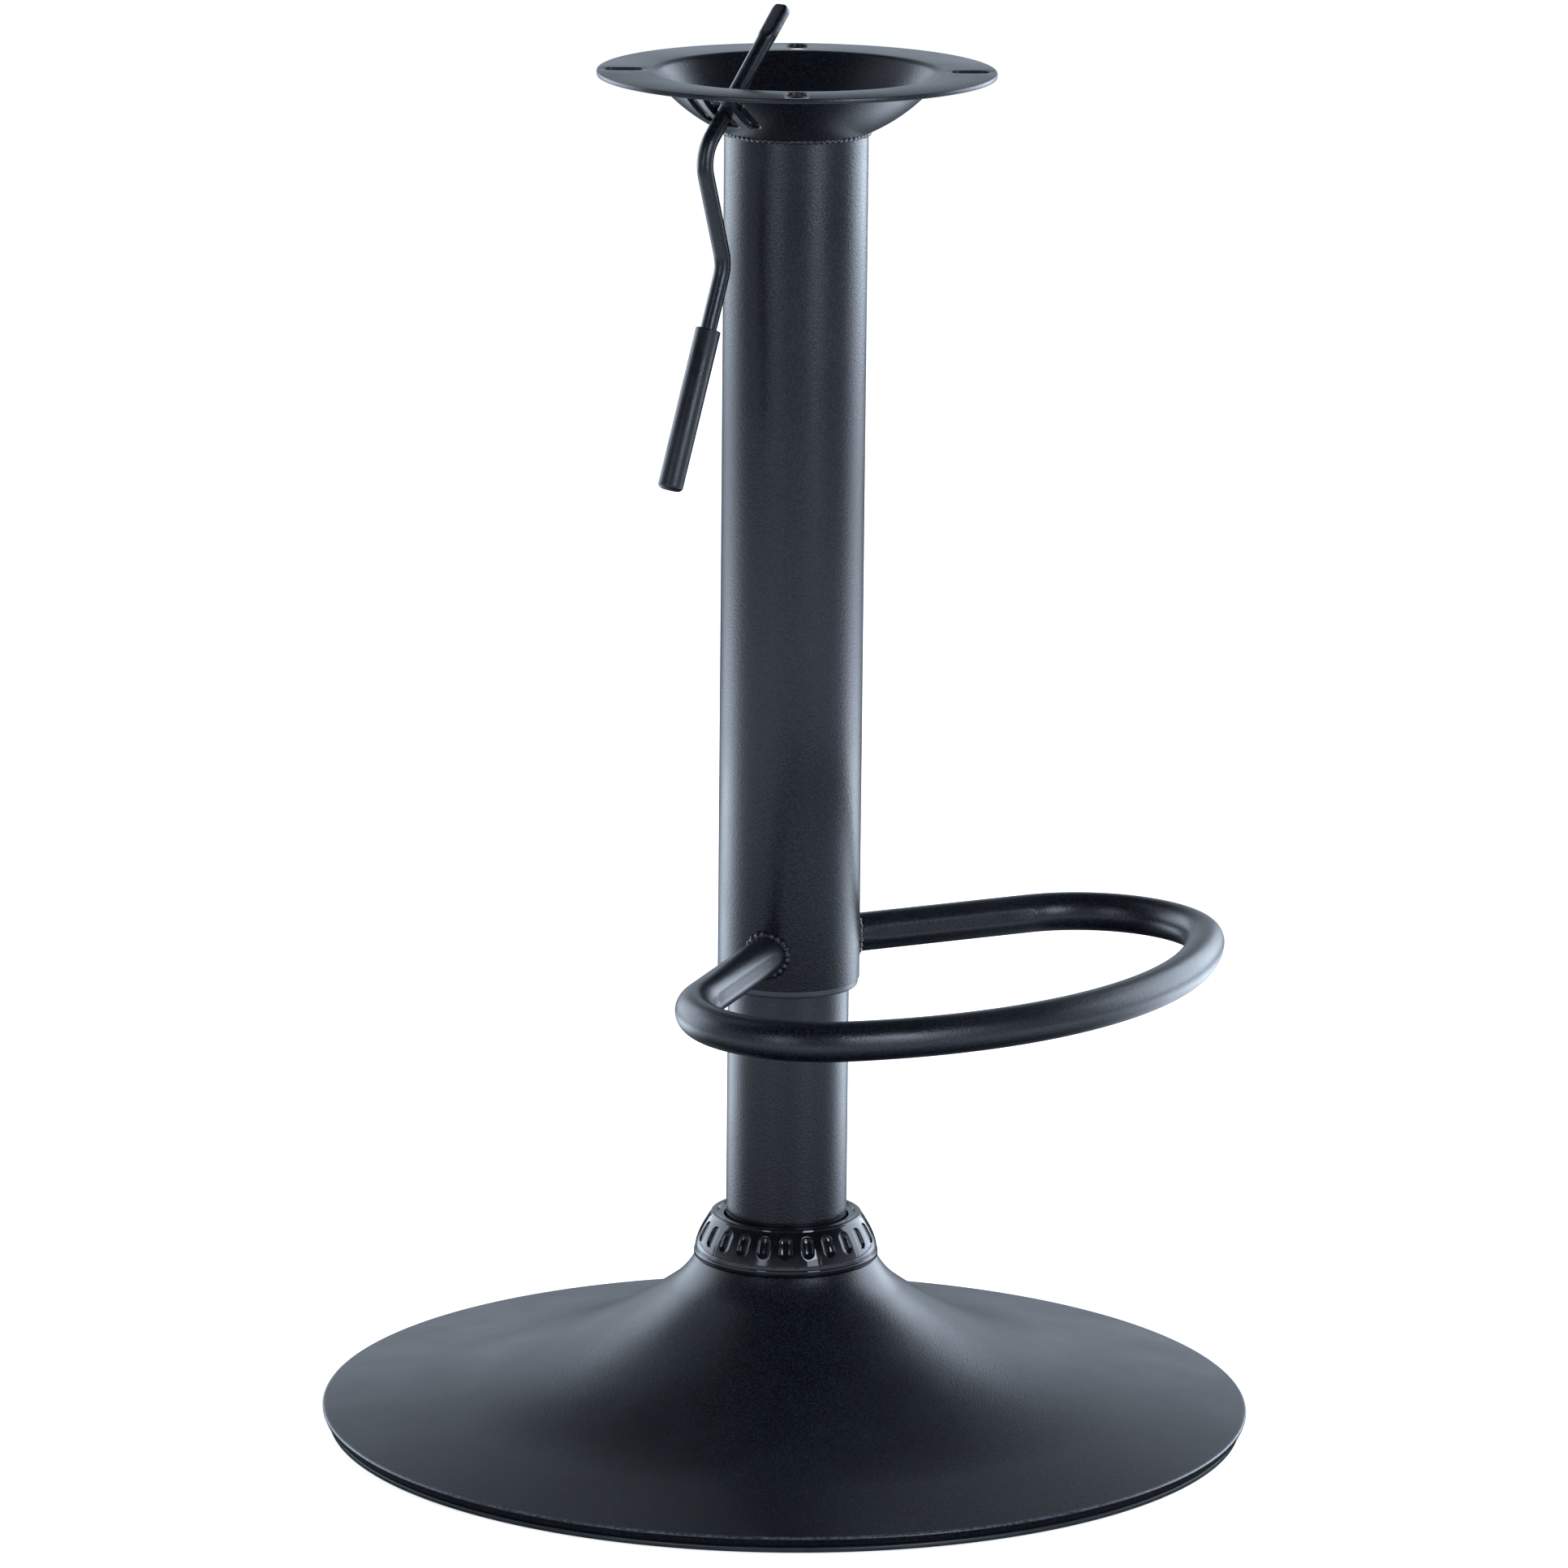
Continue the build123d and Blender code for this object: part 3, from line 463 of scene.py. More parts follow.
def quarter_turn(steps):
    """Angles from nothing to a quarter turn, in even steps."""
    return [pi / 2 * step / steps for step in range(steps + 1)]


def bridge(shape, rings):
    """Adds the faces between each closed ring of vertices and the next."""
    for low, high in zip(rings, rings[1:]):
        for step in range(len(low)):
            after = (step + 1) % len(low)
            shape.faces.new((low[step], low[after], high[after], high[step]))


def collar_sector():
    """One slice of the collar with one recess in its side, open at its two cut faces."""
    foot = Vector((COLLAR_BOTTOM_R - COLLAR_LIP_STEP, NECK_TOP_Z + COLLAR_LIP_H + COLLAR_LIP_STEP))
    head = Vector((COLLAR_TOP_R, NECK_TOP_Z + COLLAR_H - COLLAR_TOP_STEP))
    chord = (head - foot).length
    along = (head - foot) / chord
    out = Vector((along.y, -along.x))
    bulge_run = COLLAR_SHOULDER * along.y
    bulge_out = COLLAR_SHOULDER * out.y
    half_angle = pi / RECESS_COUNT
    shape = bmesh.new()

    def side(run):
        """Point and outward normal of the bulged side, this far up it."""
        rest = chord - 2 * bulge_run
        share = (sqrt(bulge_run**2 + rest * run) - bulge_run) / rest
        point = foot + along * run + out * 2 * share * (1 - share) * bulge_out
        slope = Vector((bulge_run + share * rest, (1 - 2 * share) * bulge_out)).normalized()
        return point, out * slope.x - along * slope.y

    def corner(run, angle, depth):
        """New vertex on the side, sunk by this depth."""
        point, normal = side(run)
        point = point - normal * depth
        return shape.verts.new((point.x * sin(angle) * MM, -point.x * cos(angle) * MM, point.y * MM))

    middle = chord * (NECK_TOP_Z + RECESS_RISE - foot.y) / (head.y - foot.y)
    straight = (RECESS_LENGTH - RECESS_WIDTH) / 2
    quarter, ascent, sides = 8, 3, 8
    brim = []    # centres of curvature and directions round the recess, and the points of the edge they face
    for turn in range(4):
        up = 1 if turn in (0, 1) else -1
        right = 1 if turn in (0, 3) else -1
        limit = chord if up > 0 else 0.0
        hub = middle + straight * up
        corners = []
        for step, bend in enumerate(quarter_turn(quarter)):
            aim = Vector((sin(bend) * up, cos(bend) * right))
            if step <= ascent:
                edge = (hub + (limit - hub) * step / ascent, half_angle * right)
            else:
                edge = (limit, half_angle * right * (quarter - step) / (quarter - ascent))
            corners.append((hub, aim, edge))
        if turn in (0, 2):
            brim += corners
            continue
        brim += corners[-2::-1]
        for step in range(1, sides):
            run = hub - 2 * straight * up * step / sides
            brim.append((run, Vector((0, right)), (run, half_angle * right)))
    levels = [(RECESS_STEPS[0][0], 0.0, share) for share in SLICE_RINGS]
    levels += [(growth, depth, 1.0) for growth, depth in RECESS_STEPS]
    rings = []
    for growth, depth, share in levels:
        ring = []
        for hub, aim, (edge_run, edge_angle) in brim:
            reach = RECESS_WIDTH / 2 + growth
            run = hub + aim.x * reach
            angle = aim.y * reach / side(run)[0].x
            run = edge_run + (run - edge_run) * share
            ring.append(corner(run, edge_angle + (angle - edge_angle) * share, depth))
        rings.append(ring)
    bridge(shape, rings)
    shape.faces.new(rings[-1])

    top = NECK_TOP_Z + COLLAR_H
    step_r = COLLAR_TOP_R - COLLAR_TOP_STEP - COLLAR_TOP_RIM
    inner_foot_r = COLLAR_BOTTOM_R - COLLAR_WALL - COLLAR_LIP_STEP
    lip_top = NECK_TOP_Z + COLLAR_LIP_H
    outline = [(head.x, head.y)]
    for bend in quarter_turn(6)[1:]:
        round_r = COLLAR_TOP_R - COLLAR_TOP_STEP * (1 - cos(bend))
        outline.append((round_r, head.y + COLLAR_TOP_STEP * sin(bend)))
    outline += [
        (step_r + 0.3, top),
        (step_r + 0.08, top - 0.08),
        (step_r, top - 0.3),
        (step_r, top - COLLAR_TOP_STEP),
        (COLLAR_BORE_R + 0.25, top - COLLAR_TOP_STEP),
        (COLLAR_BORE_R, top - COLLAR_TOP_STEP - 0.25),
        (COLLAR_BORE_R, top - COLLAR_TOP_STEP - COLLAR_WALL / 2),
        (inner_foot_r, lip_top),
        (inner_foot_r, NECK_TOP_Z),
        (COLLAR_BOTTOM_R - 0.35, NECK_TOP_Z),
        (COLLAR_BOTTOM_R - 0.1, NECK_TOP_Z + 0.1),
        (COLLAR_BOTTOM_R, NECK_TOP_Z + 0.4),
        (COLLAR_BOTTOM_R, lip_top - 0.5),
        (COLLAR_BOTTOM_R - 0.1, lip_top - 0.12),
        (COLLAR_BOTTOM_R - 0.32, lip_top),
        (foot.x + 0.04, foot.y - 0.4),
        (foot.x, foot.y),
    ]
    spread = quarter - ascent
    angles = [half_angle * step / spread for step in range(-spread, spread + 1)]
    strips = []
    for angle in angles:
        places = [(r * sin(angle) * MM, -r * cos(angle) * MM, z * MM) for r, z in outline]
        strips.append([shape.verts.new(place) for place in places])
    for here, there in zip(strips, strips[1:]):
        for low in range(len(outline) - 1):
            shape.faces.new((here[low], there[low], there[low + 1], here[low + 1]))
    return mesh_of("collar_sector", shape)


def as_mesh(obj):
    """Plain mesh of an object with its modifiers applied; the object itself goes."""
    bpy.context.view_layer.update()
    seen = obj.evaluated_get(bpy.context.evaluated_depsgraph_get())
    mesh = bpy.data.meshes.new_from_object(seen)
    bpy.data.objects.remove(obj)
    return mesh


def grown(name, mesh, tree, values):
    """Mesh that a Geometry Nodes tree makes of a starting mesh, with its named inputs set to these values."""
    obj = bpy.data.objects.new(name, mesh)
    bpy.context.scene.collection.objects.link(obj)
    modifier = obj.modifiers.new("shape", "NODES")
    modifier.node_group = tree
    for socket in tree.interface.items_tree:
        if socket.item_type == "SOCKET" and socket.in_out == "INPUT" and socket.name in values:
            modifier[socket.identifier] = values[socket.name]
    made = as_mesh(obj)
    made.name = name
    return made


def shape_group(name, takes):
    """New Geometry Nodes group that makes one shape of another, with these values and a finish."""
    shape = {"Geometry": "NodeSocketGeometry"}
    return group(name, "GeometryNodeTree", {**shape, **takes, "Finish": "NodeSocketMaterial"}, shape)


def close_tree(tree, shape, given, result):
    """Makes the shape real, gives it its finish and hands it out."""
    real = add(tree, "GeometryNodeRealizeInstances", {"Geometry": shape}).outputs[0]
    painted = add(tree, "GeometryNodeSetMaterial", {"Geometry": real, "Material": given["Finish"]})
    feed(tree, result, {"Geometry": painted.outputs[0]})
    return tree


def round_array_tree():
    """A slice repeated all round Z, its seams merged."""
    tree, given, result = shape_group("round_array", {"Slices": 24, "Seam": 0.00001})
    share = calc(tree, "DIVIDE", 2 * pi, given["Slices"])
    turn = calc(tree, "MULTIPLY", add(tree, "GeometryNodeInputIndex").outputs[0], share)
    euler = add(tree, "ShaderNodeCombineXYZ", {2: turn}).outputs[0]
    slices = add(tree, "GeometryNodeInstanceOnPoints", {
        "Points": add(tree, "GeometryNodePoints", {"Count": given["Slices"]}).outputs[0],
        "Instance": given["Geometry"],
        "Rotation": add(tree, "FunctionNodeEulerToRotation", {0: euler}).outputs[0],
    })
    real = add(tree, "GeometryNodeRealizeInstances", {"Geometry": slices.outputs[0]}).outputs[0]
    merged = add(tree, "GeometryNodeMergeByDistance", {"Geometry": real, "Distance": given["Seam"]})
    return close_tree(tree, merged.outputs[0], given, result)


collar_gloss = plastic("collar_gloss", (0.004, 0.0045, 0.006), 0.1, 900.0, 0.004)
collar = grown("neck_collar_moulding", collar_sector(), round_array_tree(),
               {"Slices": RECESS_COUNT, "Finish": collar_gloss})
collar.set_sharp_from_angle(angle=radians(38))
fitted("neck_collar_moulding", collar, collar_gloss, "base", "gloss_black", "neck_collar")

# Column: a welded steel tube of 50 mm, tapered at its foot to wedge in the hub, powder coated as the dish is.
# Its head carries a plastic guide for the gas lift, hidden by the sleeve until the seat goes up.

COLUMN_FOOT_Z = 10.0
COLUMN_TOP_Z = 470.0
COLUMN_WALL = 1.5
COLUMN_TAPER_Z = 68.0
COLUMN_FOOT_R = 23.58
COLUMN_EDGE = 0.3
GUIDE_BORE_R = 14.06
GUIDE_FOOT_Z = 395.0
GUIDE_HEAD_Z = 473.0
GUIDE_R = COLUMN_R - COLUMN_WALL - 0.1
GUIDE_EDGE = 0.8

column_coat = powder("powder_column", 0.3, 0.12)
column_outline = [
    (COLUMN_FOOT_R, COLUMN_FOOT_Z + COLUMN_EDGE),
    (COLUMN_R, COLUMN_TAPER_Z),
    (COLUMN_R, COLUMN_TOP_Z - COLUMN_EDGE),
    (COLUMN_R - COLUMN_EDGE, COLUMN_TOP_Z),
    (COLUMN_R - COLUMN_WALL, COLUMN_TOP_Z),
    (COLUMN_R - COLUMN_WALL, COLUMN_TAPER_Z),
    (COLUMN_FOOT_R - COLUMN_WALL, COLUMN_FOOT_Z),
    (COLUMN_FOOT_R - COLUMN_EDGE, COLUMN_FOOT_Z),
]
spun_piece("column_skin", column_outline, 128, column_coat, "base", "powder_black", "column_tube")

guide_plastic = plastic("guide_plastic", (0.02, 0.021, 0.024), 0.42, 2200.0, 0.015)
guide_outline = [
    (GUIDE_BORE_R, GUIDE_FOOT_Z),
    (GUIDE_R, GUIDE_FOOT_Z),
    (GUIDE_R, COLUMN_TOP_Z),
    (COLUMN_R, COLUMN_TOP_Z),
    (COLUMN_R, GUIDE_HEAD_Z - GUIDE_EDGE),
    (COLUMN_R - 0.25, GUIDE_HEAD_Z - 0.2),
    (COLUMN_R - GUIDE_EDGE, GUIDE_HEAD_Z),
    (GUIDE_BORE_R + GUIDE_EDGE, GUIDE_HEAD_Z),
    (GUIDE_BORE_R, GUIDE_HEAD_Z - GUIDE_EDGE),
]
spun_piece("guide_sleeve_moulding", guide_outline, 96, guide_plastic, "base", "bush_black", "guide_sleeve")

# Gas lift in the column: a thrust bearing at its foot, a ground rod, and the pressure tube that rises on it.
# Steel, brass and light alloy turned parts with rubber seals, closed in for good except for the tube's ends.

bright_steel = metal("bright_steel", (0.62, 0.62, 0.64), 0.16, 3200.0, 0.003)
turned_alloy = metal("turned_alloy", (0.66, 0.66, 0.68), 0.3, 1700.0, 0.008)
stamped_brass = metal("stamped_brass", (0.62, 0.46, 0.2), 0.3, 1300.0, 0.008)
seal_rubber = plastic("seal_rubber", (0.02, 0.02, 0.02), 0.62, 1500.0, 0.02)
dress(bright_steel, "bearing_balls", "piston_rod", "pressure_tube", "inner_cylinder")
dress(bare_steel, "bearing_lower_race", "bearing_upper_race", "taper_socket")
dress(turned_alloy, "piston", "rod_guide", "valve_body")
dress(stamped_brass, "bearing_cage")
dress(seal_rubber, "piston_seal", "rod_seal", "rubber_bumper")

# Sleeve and its bush: a powder coated steel tube that slides down over the column and hides the gas lift.
# The bush is a moulded plastic ring pushed into the sleeve's foot, with a rounded lip that shows under it.

SLEEVE_R = 29.26
SLEEVE_BORE_R = 27.76
SLEEVE_FOOT_Z = 189.3
SLEEVE_TOP_Z = 540.9
SLEEVE_EDGE = 0.35
SLEEVE_GAP = 0.1         # from the head of the sleeve to the bowl
BUSH_R = SLEEVE_BORE_R - 0.1
BUSH_BORE_R = COLUMN_R + 0.06
BUSH_LIP_R = SLEEVE_R - 0.6
BUSH_LIP_H = 3.0
BUSH_LIP_ROUND = 1.2
BUSH_LENGTH = 37.0
BUSH_EDGE = 0.4
BUSH_SEAT_Z = SLEEVE_FOOT_Z - 0.02
BOWL_R = 73.7
BOWL_CENTRE_Z = SLEEVE_TOP_Z + sqrt(BOWL_R**2 - SLEEVE_R**2)

sleeve_coat = powder("powder_sleeve", 0.3, 0.14)
sleeve_top_outer = BOWL_CENTRE_Z - sqrt((BOWL_R + SLEEVE_GAP) ** 2 - SLEEVE_R**2)
sleeve_top_inner = BOWL_CENTRE_Z - sqrt((BOWL_R + SLEEVE_GAP) ** 2 - SLEEVE_BORE_R**2)
sleeve_outline = [
    (SLEEVE_R - SLEEVE_EDGE, SLEEVE_FOOT_Z),
    (SLEEVE_R - SLEEVE_EDGE * 0.3, SLEEVE_FOOT_Z + SLEEVE_EDGE * 0.3),
    (SLEEVE_R, SLEEVE_FOOT_Z + SLEEVE_EDGE),
    (SLEEVE_R, sleeve_top_outer),
    (SLEEVE_BORE_R, sleeve_top_inner),
    (SLEEVE_BORE_R, SLEEVE_FOOT_Z),
]
spun_piece("sleeve_skin", sleeve_outline, 144, sleeve_coat, "upper", "powder_black", "sleeve_tube")

bush_plastic = plastic("bush_plastic", (0.03, 0.034, 0.043), 0.36, 2000.0, 0.012)
lip_low = SLEEVE_FOOT_Z - BUSH_LIP_H
bush_outline = [(BUSH_BORE_R, lip_low + BUSH_EDGE), (BUSH_BORE_R + BUSH_EDGE, lip_low)]
for bend in quarter_turn(6):
    lip_r = BUSH_LIP_R - BUSH_LIP_ROUND * (1 - sin(bend))
    bush_outline.append((lip_r, lip_low + BUSH_LIP_ROUND * (1 - cos(bend))))
bush_outline += [
    (BUSH_LIP_R, BUSH_SEAT_Z),
    (BUSH_R, BUSH_SEAT_Z),
    (BUSH_R, lip_low + BUSH_LENGTH),
    (BUSH_BORE_R, lip_low + BUSH_LENGTH),
]
spun_piece("sleeve_bush_moulding", bush_outline, 128, bush_plastic, "upper", "bush_black", "sleeve_bush")

# Seat plate: a bowl and flange pressed from 2 mm steel sheet, slotted for four seat bolts and for the lever.
# The lever hangs on two narrow strips between three slots. Powder coated with the sleeve it is welded to.

PLATE_SHEET = 2.0
FLANGE_R = 81.0
FLANGE_EDGE = 0.5
MOUTH_R = 57.4
MOUTH_ROUND = 4.5
BOWL_INNER_R = BOWL_R - PLATE_SHEET
FLANGE_Z = BOWL_CENTRE_Z - sqrt(BOWL_INNER_R**2 - MOUTH_R**2)
SOCKET_R = 19.9
BOWL_HOLE_R = SOCKET_R + 0.1
BOLT_CIRCLE_R = 70.0
BOLT_SLOT = (16.0, 8.0)
LEVER_TURN = -39.0       # degrees from the front, towards +X
LEVER_SLOT_ANGLE = 41.2  # middle of the slots, degrees from the bottom of the bowl
LEVER_SLOT_LENGTH = 21.5
LEVER_SLOT_WIDTH = 8.0
SIDE_SLOT_WIDTH = 5.6
STRIP_WIDTH = 4.6
SLOT_CORNER_R = 2.5
CUTTER_REACH = 3.0       # the lever slots' cutters start this far outside the bowl
BRIM = [(0.65, 0.25), (0.4, 0.0), (0.17, -0.1), (0.05, -0.24), (0.0, -0.45)]    # growth, height above a face


def heading(turn):
    """Level unit vector, turned from the front (-Y) towards +X by this many degrees."""
    return Vector((sin(radians(turn)), -cos(radians(turn)), 0))


def rounded_slot(length, width, radius, growth):
    """Outline of a slot with rounded corners, grown outwards all round."""
    reach_x, reach_y = length / 2 - radius, width / 2 - radius
    points = []
    for turn in range(4):
        centre_x = reach_x if turn in (0, 3) else -reach_x
        centre_y = reach_y if turn in (0, 1) else -reach_y
        for step in range(9):
            angle = pi / 2 * (turn + step / 8)
            x = centre_x + (radius + growth) * cos(angle)
            points.append((x, centre_y + (radius + growth) * sin(angle)))
    return points


def add_cutter(shape, rings):
    """Adds a closed body through these rings of points, in millimetres."""
    made = [[shape.verts.new(point * MM) for point in ring] for ring in rings]
    bridge(shape, made)
    shape.faces.new(made[0][::-1])
    shape.faces.new(made[-1])


def plate_cutters():
    """Cutting bodies of all the slots, flared at both faces so that the cut edges come out rounded."""
    shape = bmesh.new()
    levels = [(growth, FLANGE_Z + lift) for growth, lift in BRIM]
    levels += [(growth, FLANGE_Z - PLATE_SHEET - lift) for growth, lift in BRIM[::-1]]
    for turn in range(4):
        spin = Matrix.Rotation(turn * pi / 2, 3, "Z")
        rings = []
        for growth, height in levels:
            outline = rounded_slot(*BOLT_SLOT, BOLT_SLOT[1] / 2, growth)
            rings.append([spin @ Vector((BOLT_CIRCLE_R + x, y, height)) for x, y in outline])
        add_cutter(shape, rings)

    tilt = radians(LEVER_SLOT_ANGLE)
    out = heading(LEVER_TURN) * sin(tilt) - Vector((0, 0, cos(tilt)))
    across = heading(LEVER_TURN).cross(Vector((0, 0, 1)))
    down = out.cross(across)
    centre = Vector((0, 0, BOWL_CENTRE_Z))
    shells = [(BRIM[0][0], BOWL_R + CUTTER_REACH)]
    shells += [(growth, BOWL_R + lift) for growth, lift in BRIM]
    shells += [(growth, BOWL_INNER_R - lift) for growth, lift in BRIM[::-1]]
    side_shift = LEVER_SLOT_WIDTH / 2 + STRIP_WIDTH + SIDE_SLOT_WIDTH / 2
    slots = ((LEVER_SLOT_WIDTH, 0), (SIDE_SLOT_WIDTH, side_shift), (SIDE_SLOT_WIDTH, -side_shift))
    for width, shift in slots:
        rings = []
        for growth, ball_r in shells:
            ring = []
            for x, y in rounded_slot(LEVER_SLOT_LENGTH, width, SLOT_CORNER_R, growth):
                reach = sqrt(ball_r**2 - x**2 - (y + shift) ** 2)
                ring.append(centre + down * x + across * (y + shift) + out * reach)
            rings.append(ring)
        add_cutter(shape, rings)
    return mesh_of("plate_cutters", shape)


def cut(mesh, cutters, operation="DIFFERENCE"):
    """Mesh after it is cut by, or joined to, another closed mesh."""
    body = bpy.data.objects.new("cut_body", mesh)
    tool = bpy.data.objects.new("cut_tool", cutters)
    for obj in (body, tool):
        bpy.context.scene.collection.objects.link(obj)
    modifier = body.modifiers.new("cut", "BOOLEAN")
    modifier.operation = operation
    modifier.solver = "MANIFOLD"
    modifier.object = tool
    made = as_mesh(body)
    bpy.data.objects.remove(tool)
    return made


plate_coat = powder("powder_plate", 0.33, 0.09)
round_z = BOWL_CENTRE_Z - FLANGE_Z + MOUTH_ROUND
round_r = sqrt((BOWL_INNER_R + MOUTH_ROUND) ** 2 - round_z**2)
mouth_turn = degrees(atan2(round_r, round_z))
hole_turn = degrees(atan2(BOWL_HOLE_R, sqrt(BOWL_INNER_R**2 - BOWL_HOLE_R**2)))
plate_line = walk((FLANGE_R - FLANGE_EDGE, FLANGE_Z), 180, [
    (FLANGE_R - FLANGE_EDGE - round_r,),
    (MOUTH_ROUND, mouth_turn, 12),
    (BOWL_INNER_R, hole_turn - mouth_turn, 30),
])
plate_outline = sheet_outline(plate_line, -PLATE_SHEET)
plate_outline += [
    Vector((FLANGE_R - FLANGE_EDGE * 0.3, FLANGE_Z - PLATE_SHEET + FLANGE_EDGE * 0.3)),
    Vector((FLANGE_R, FLANGE_Z - PLATE_SHEET + FLANGE_EDGE)),
    Vector((FLANGE_R, FLANGE_Z - FLANGE_EDGE)),
    Vector((FLANGE_R - FLANGE_EDGE * 0.3, FLANGE_Z - FLANGE_EDGE * 0.3)),
]
plate = cut(spun("plate_blank", plate_outline, 192), plate_cutters())
plate.name = "seat_plate_skin"
smooth(plate, 24)
fitted("seat_plate_skin", plate, plate_coat, "upper", "powder_black", "seat_plate")

# Weld beads of the bowl: one outside round the head of the sleeve, one inside round the taper socket.
# Laid by hand with wire, so they are lumpy and ripple along their length, and coated over with the rest.

WELD_PITCH = 2.6
WELD_RIPPLE = 0.14       # as a share of the bead's radius


def piped(tree, line, sides, radius, caps=False):
    """Round bar along a line."""
    section = add(tree, "GeometryNodeCurvePrimitiveCircle", {"Resolution": sides, "Radius": radius})
    inputs = {"Curve": line, "Profile Curve": section.outputs[0], "Fill Caps": caps}
    return add(tree, "GeometryNodeCurveToMesh", inputs).outputs[0]


def pushed(tree, shape, direction, distance):
    """Shape with its points moved this far in a direction."""
    inputs = {"Geometry": shape, "Offset": scaled(tree, direction, distance)}
    return add(tree, "GeometryNodeSetPosition", inputs).outputs[0]


def marks(tree, name, kind="FLOAT"):
    """Values that the points carry under a name."""
    return add(tree, "GeometryNodeInputNamedAttribute", {"Name": name}, data_type=kind).outputs[0]


def bead_tree():
    """Bead along a closed line: even ripples with lumps on them."""
    tree, given, result = shape_group("weld_bead", {
        "Bead": 0.0014,
        "Sides": 14,
        "Step": 0.0004,
        "Pitch": 0.0026,
        "Ripple": 0.00022,
        "Lumps": 0.0008,
        "Lump Size": 220.0,
    })
    line = add(tree, "GeometryNodeMeshToCurve", {"Mesh": given["Geometry"]}).outputs[0]
    even = add(tree, "GeometryNodeResampleCurve", {"Curve": line, "Length": given["Step"]}, mode="LENGTH")
    length = add(tree, "GeometryNodeSplineParameter").outputs["Length"]
    marked = add(tree, "GeometryNodeStoreNamedAttribute",
                 {"Geometry": even.outputs[0], "Name": "along", "Value": length},
                 data_type="FLOAT", domain="POINT")
    bead = piped(tree, marked.outputs[0], given["Sides"], given["Bead"])
    phase = calc(tree, "DIVIDE", marks(tree, "along"), given["Pitch"])
    wave = calc(tree, "SINE", calc(tree, "MULTIPLY", phase, 2 * pi))
    ripple = calc(tree, "MULTIPLY", wave, given["Ripple"])
    grain = add(tree, "ShaderNodeTexNoise", {"Scale": given["Lump Size"], "Detail": 2.0}).outputs["Fac"]
    lump = calc(tree, "MULTIPLY_ADD", calc(tree, "SUBTRACT", grain, 0.5), given["Lumps"], ripple)
    normal = add(tree, "GeometryNodeInputNormal").outputs["Normal"]
    return close_tree(tree, pushed(tree, bead, normal, lump), given, result)


BEAD = bead_tree()


def line_mesh(name, points, closed=False):
    """Mesh of nothing but a line through these points, in millimetres."""
    mesh = bpy.data.meshes.new(name)
    edges = [(step, step + 1) for step in range(len(points) - 1)]
    if closed:
        edges.append((len(points) - 1, 0))
    mesh.from_pydata([Vector(point) * MM for point in points], edges, [])
    return mesh


weld_coat = powder("powder_weld", 0.36, 0.08)


def weld(name, points, bead, lumps):
    """Weld bead of this radius and lumpiness along a closed line of points, in millimetres."""
    mesh = grown(name, line_mesh(name, points, closed=True), BEAD, {
        "Bead": bead * MM,
        "Pitch": WELD_PITCH * MM,
        "Ripple": WELD_RIPPLE * bead * MM,
        "Lumps": lumps * MM,
        "Finish": weld_coat,
    })
    mesh.shade_smooth()
    fitted(name, mesh, weld_coat, "upper", "powder_black")


def circle(radius, height, steps):
    """Points round the column axis."""
    angles = [2 * pi * step / steps for step in range(steps)]
    return [(radius * cos(angle), radius * sin(angle), height) for angle in angles]


weld("bowl_weld", circle(SLEEVE_R + 0.1, SLEEVE_TOP_Z - 0.1, 180), bead=1.0, lumps=0.8)
socket_seat_z = BOWL_CENTRE_Z - sqrt(BOWL_INNER_R**2 - (SOCKET_R + 0.4) ** 2)
weld("socket_weld", circle(SOCKET_R + 0.3, socket_seat_z + 0.3, 140), bead=1.5, lumps=0.8)

# Footrest: a loop bent from 16 mm steel tube, coped to the sleeve, welded on all round and powder coated.
# The bending clamp has left a shallow flat along the inside of each straight arm.

FOOT_TUBE_R = 8.0
FOOT_Z = SLEEVE_FOOT_Z + 15.3
FOOT_TURN = 49.3         # degrees from the front, towards +X
FOOT_REACH = 167.2
FOOT_HALF_WIDTH = 133.8
FOOT_FRONT_R = 188.0
FOOT_CORNER_R = 50.0
CLAMP_FLAT = 0.42
CLAMP_TILT = 8.0         # degrees that the flat faces up
CLAMP_START = 4.0        # from the sleeve to the flat
CLAMP_RUN_OUT = 8.0
CLAMP_STEP = 0.4         # the flat ends in three such steps at the bend
WELD_STAND = 0.2         # from the tube to the middle of its weld
WELD_OUT = 0.15          # from the sleeve to the middle of the weld
ARM_ROOT = 28.0          # ends of the tube, inside the wall of the sleeve


def clamped_tube_tree():
    """Round tube along a line, with a flat pressed in where the line is marked, on the side it names."""
    takes = {"Tube Radius": 0.008, "Sides": 56, "Flat Depth": 0.0008}
    tree, given, result = shape_group("clamped_tube", takes)
    line = add(tree, "GeometryNodeMeshToCurve", {"Mesh": given["Geometry"]}).outputs[0]
    tube = piped(tree, line, given["Sides"], given["Tube Radius"], caps=True)
    inward = marks(tree, "inward", "FLOAT_VECTOR")
    normal = add(tree, "GeometryNodeInputNormal").outputs["Normal"]
    facing = add(tree, "ShaderNodeVectorMath", {0: normal, 1: inward}, operation="DOT_PRODUCT")
    reach = calc(tree, "MULTIPLY", facing.outputs["Value"], given["Tube Radius"])
    depth = calc(tree, "MULTIPLY", given["Flat Depth"], marks(tree, "pressed"))
    limit = calc(tree, "SUBTRACT", given["Tube Radius"], depth)
    over = calc(tree, "MAXIMUM", calc(tree, "SUBTRACT", reach, limit), 0.0)
    moved = pushed(tree, tube, inward, calc(tree, "MULTIPLY", over, -1.0))
    return close_tree(tree, moved, given, result)


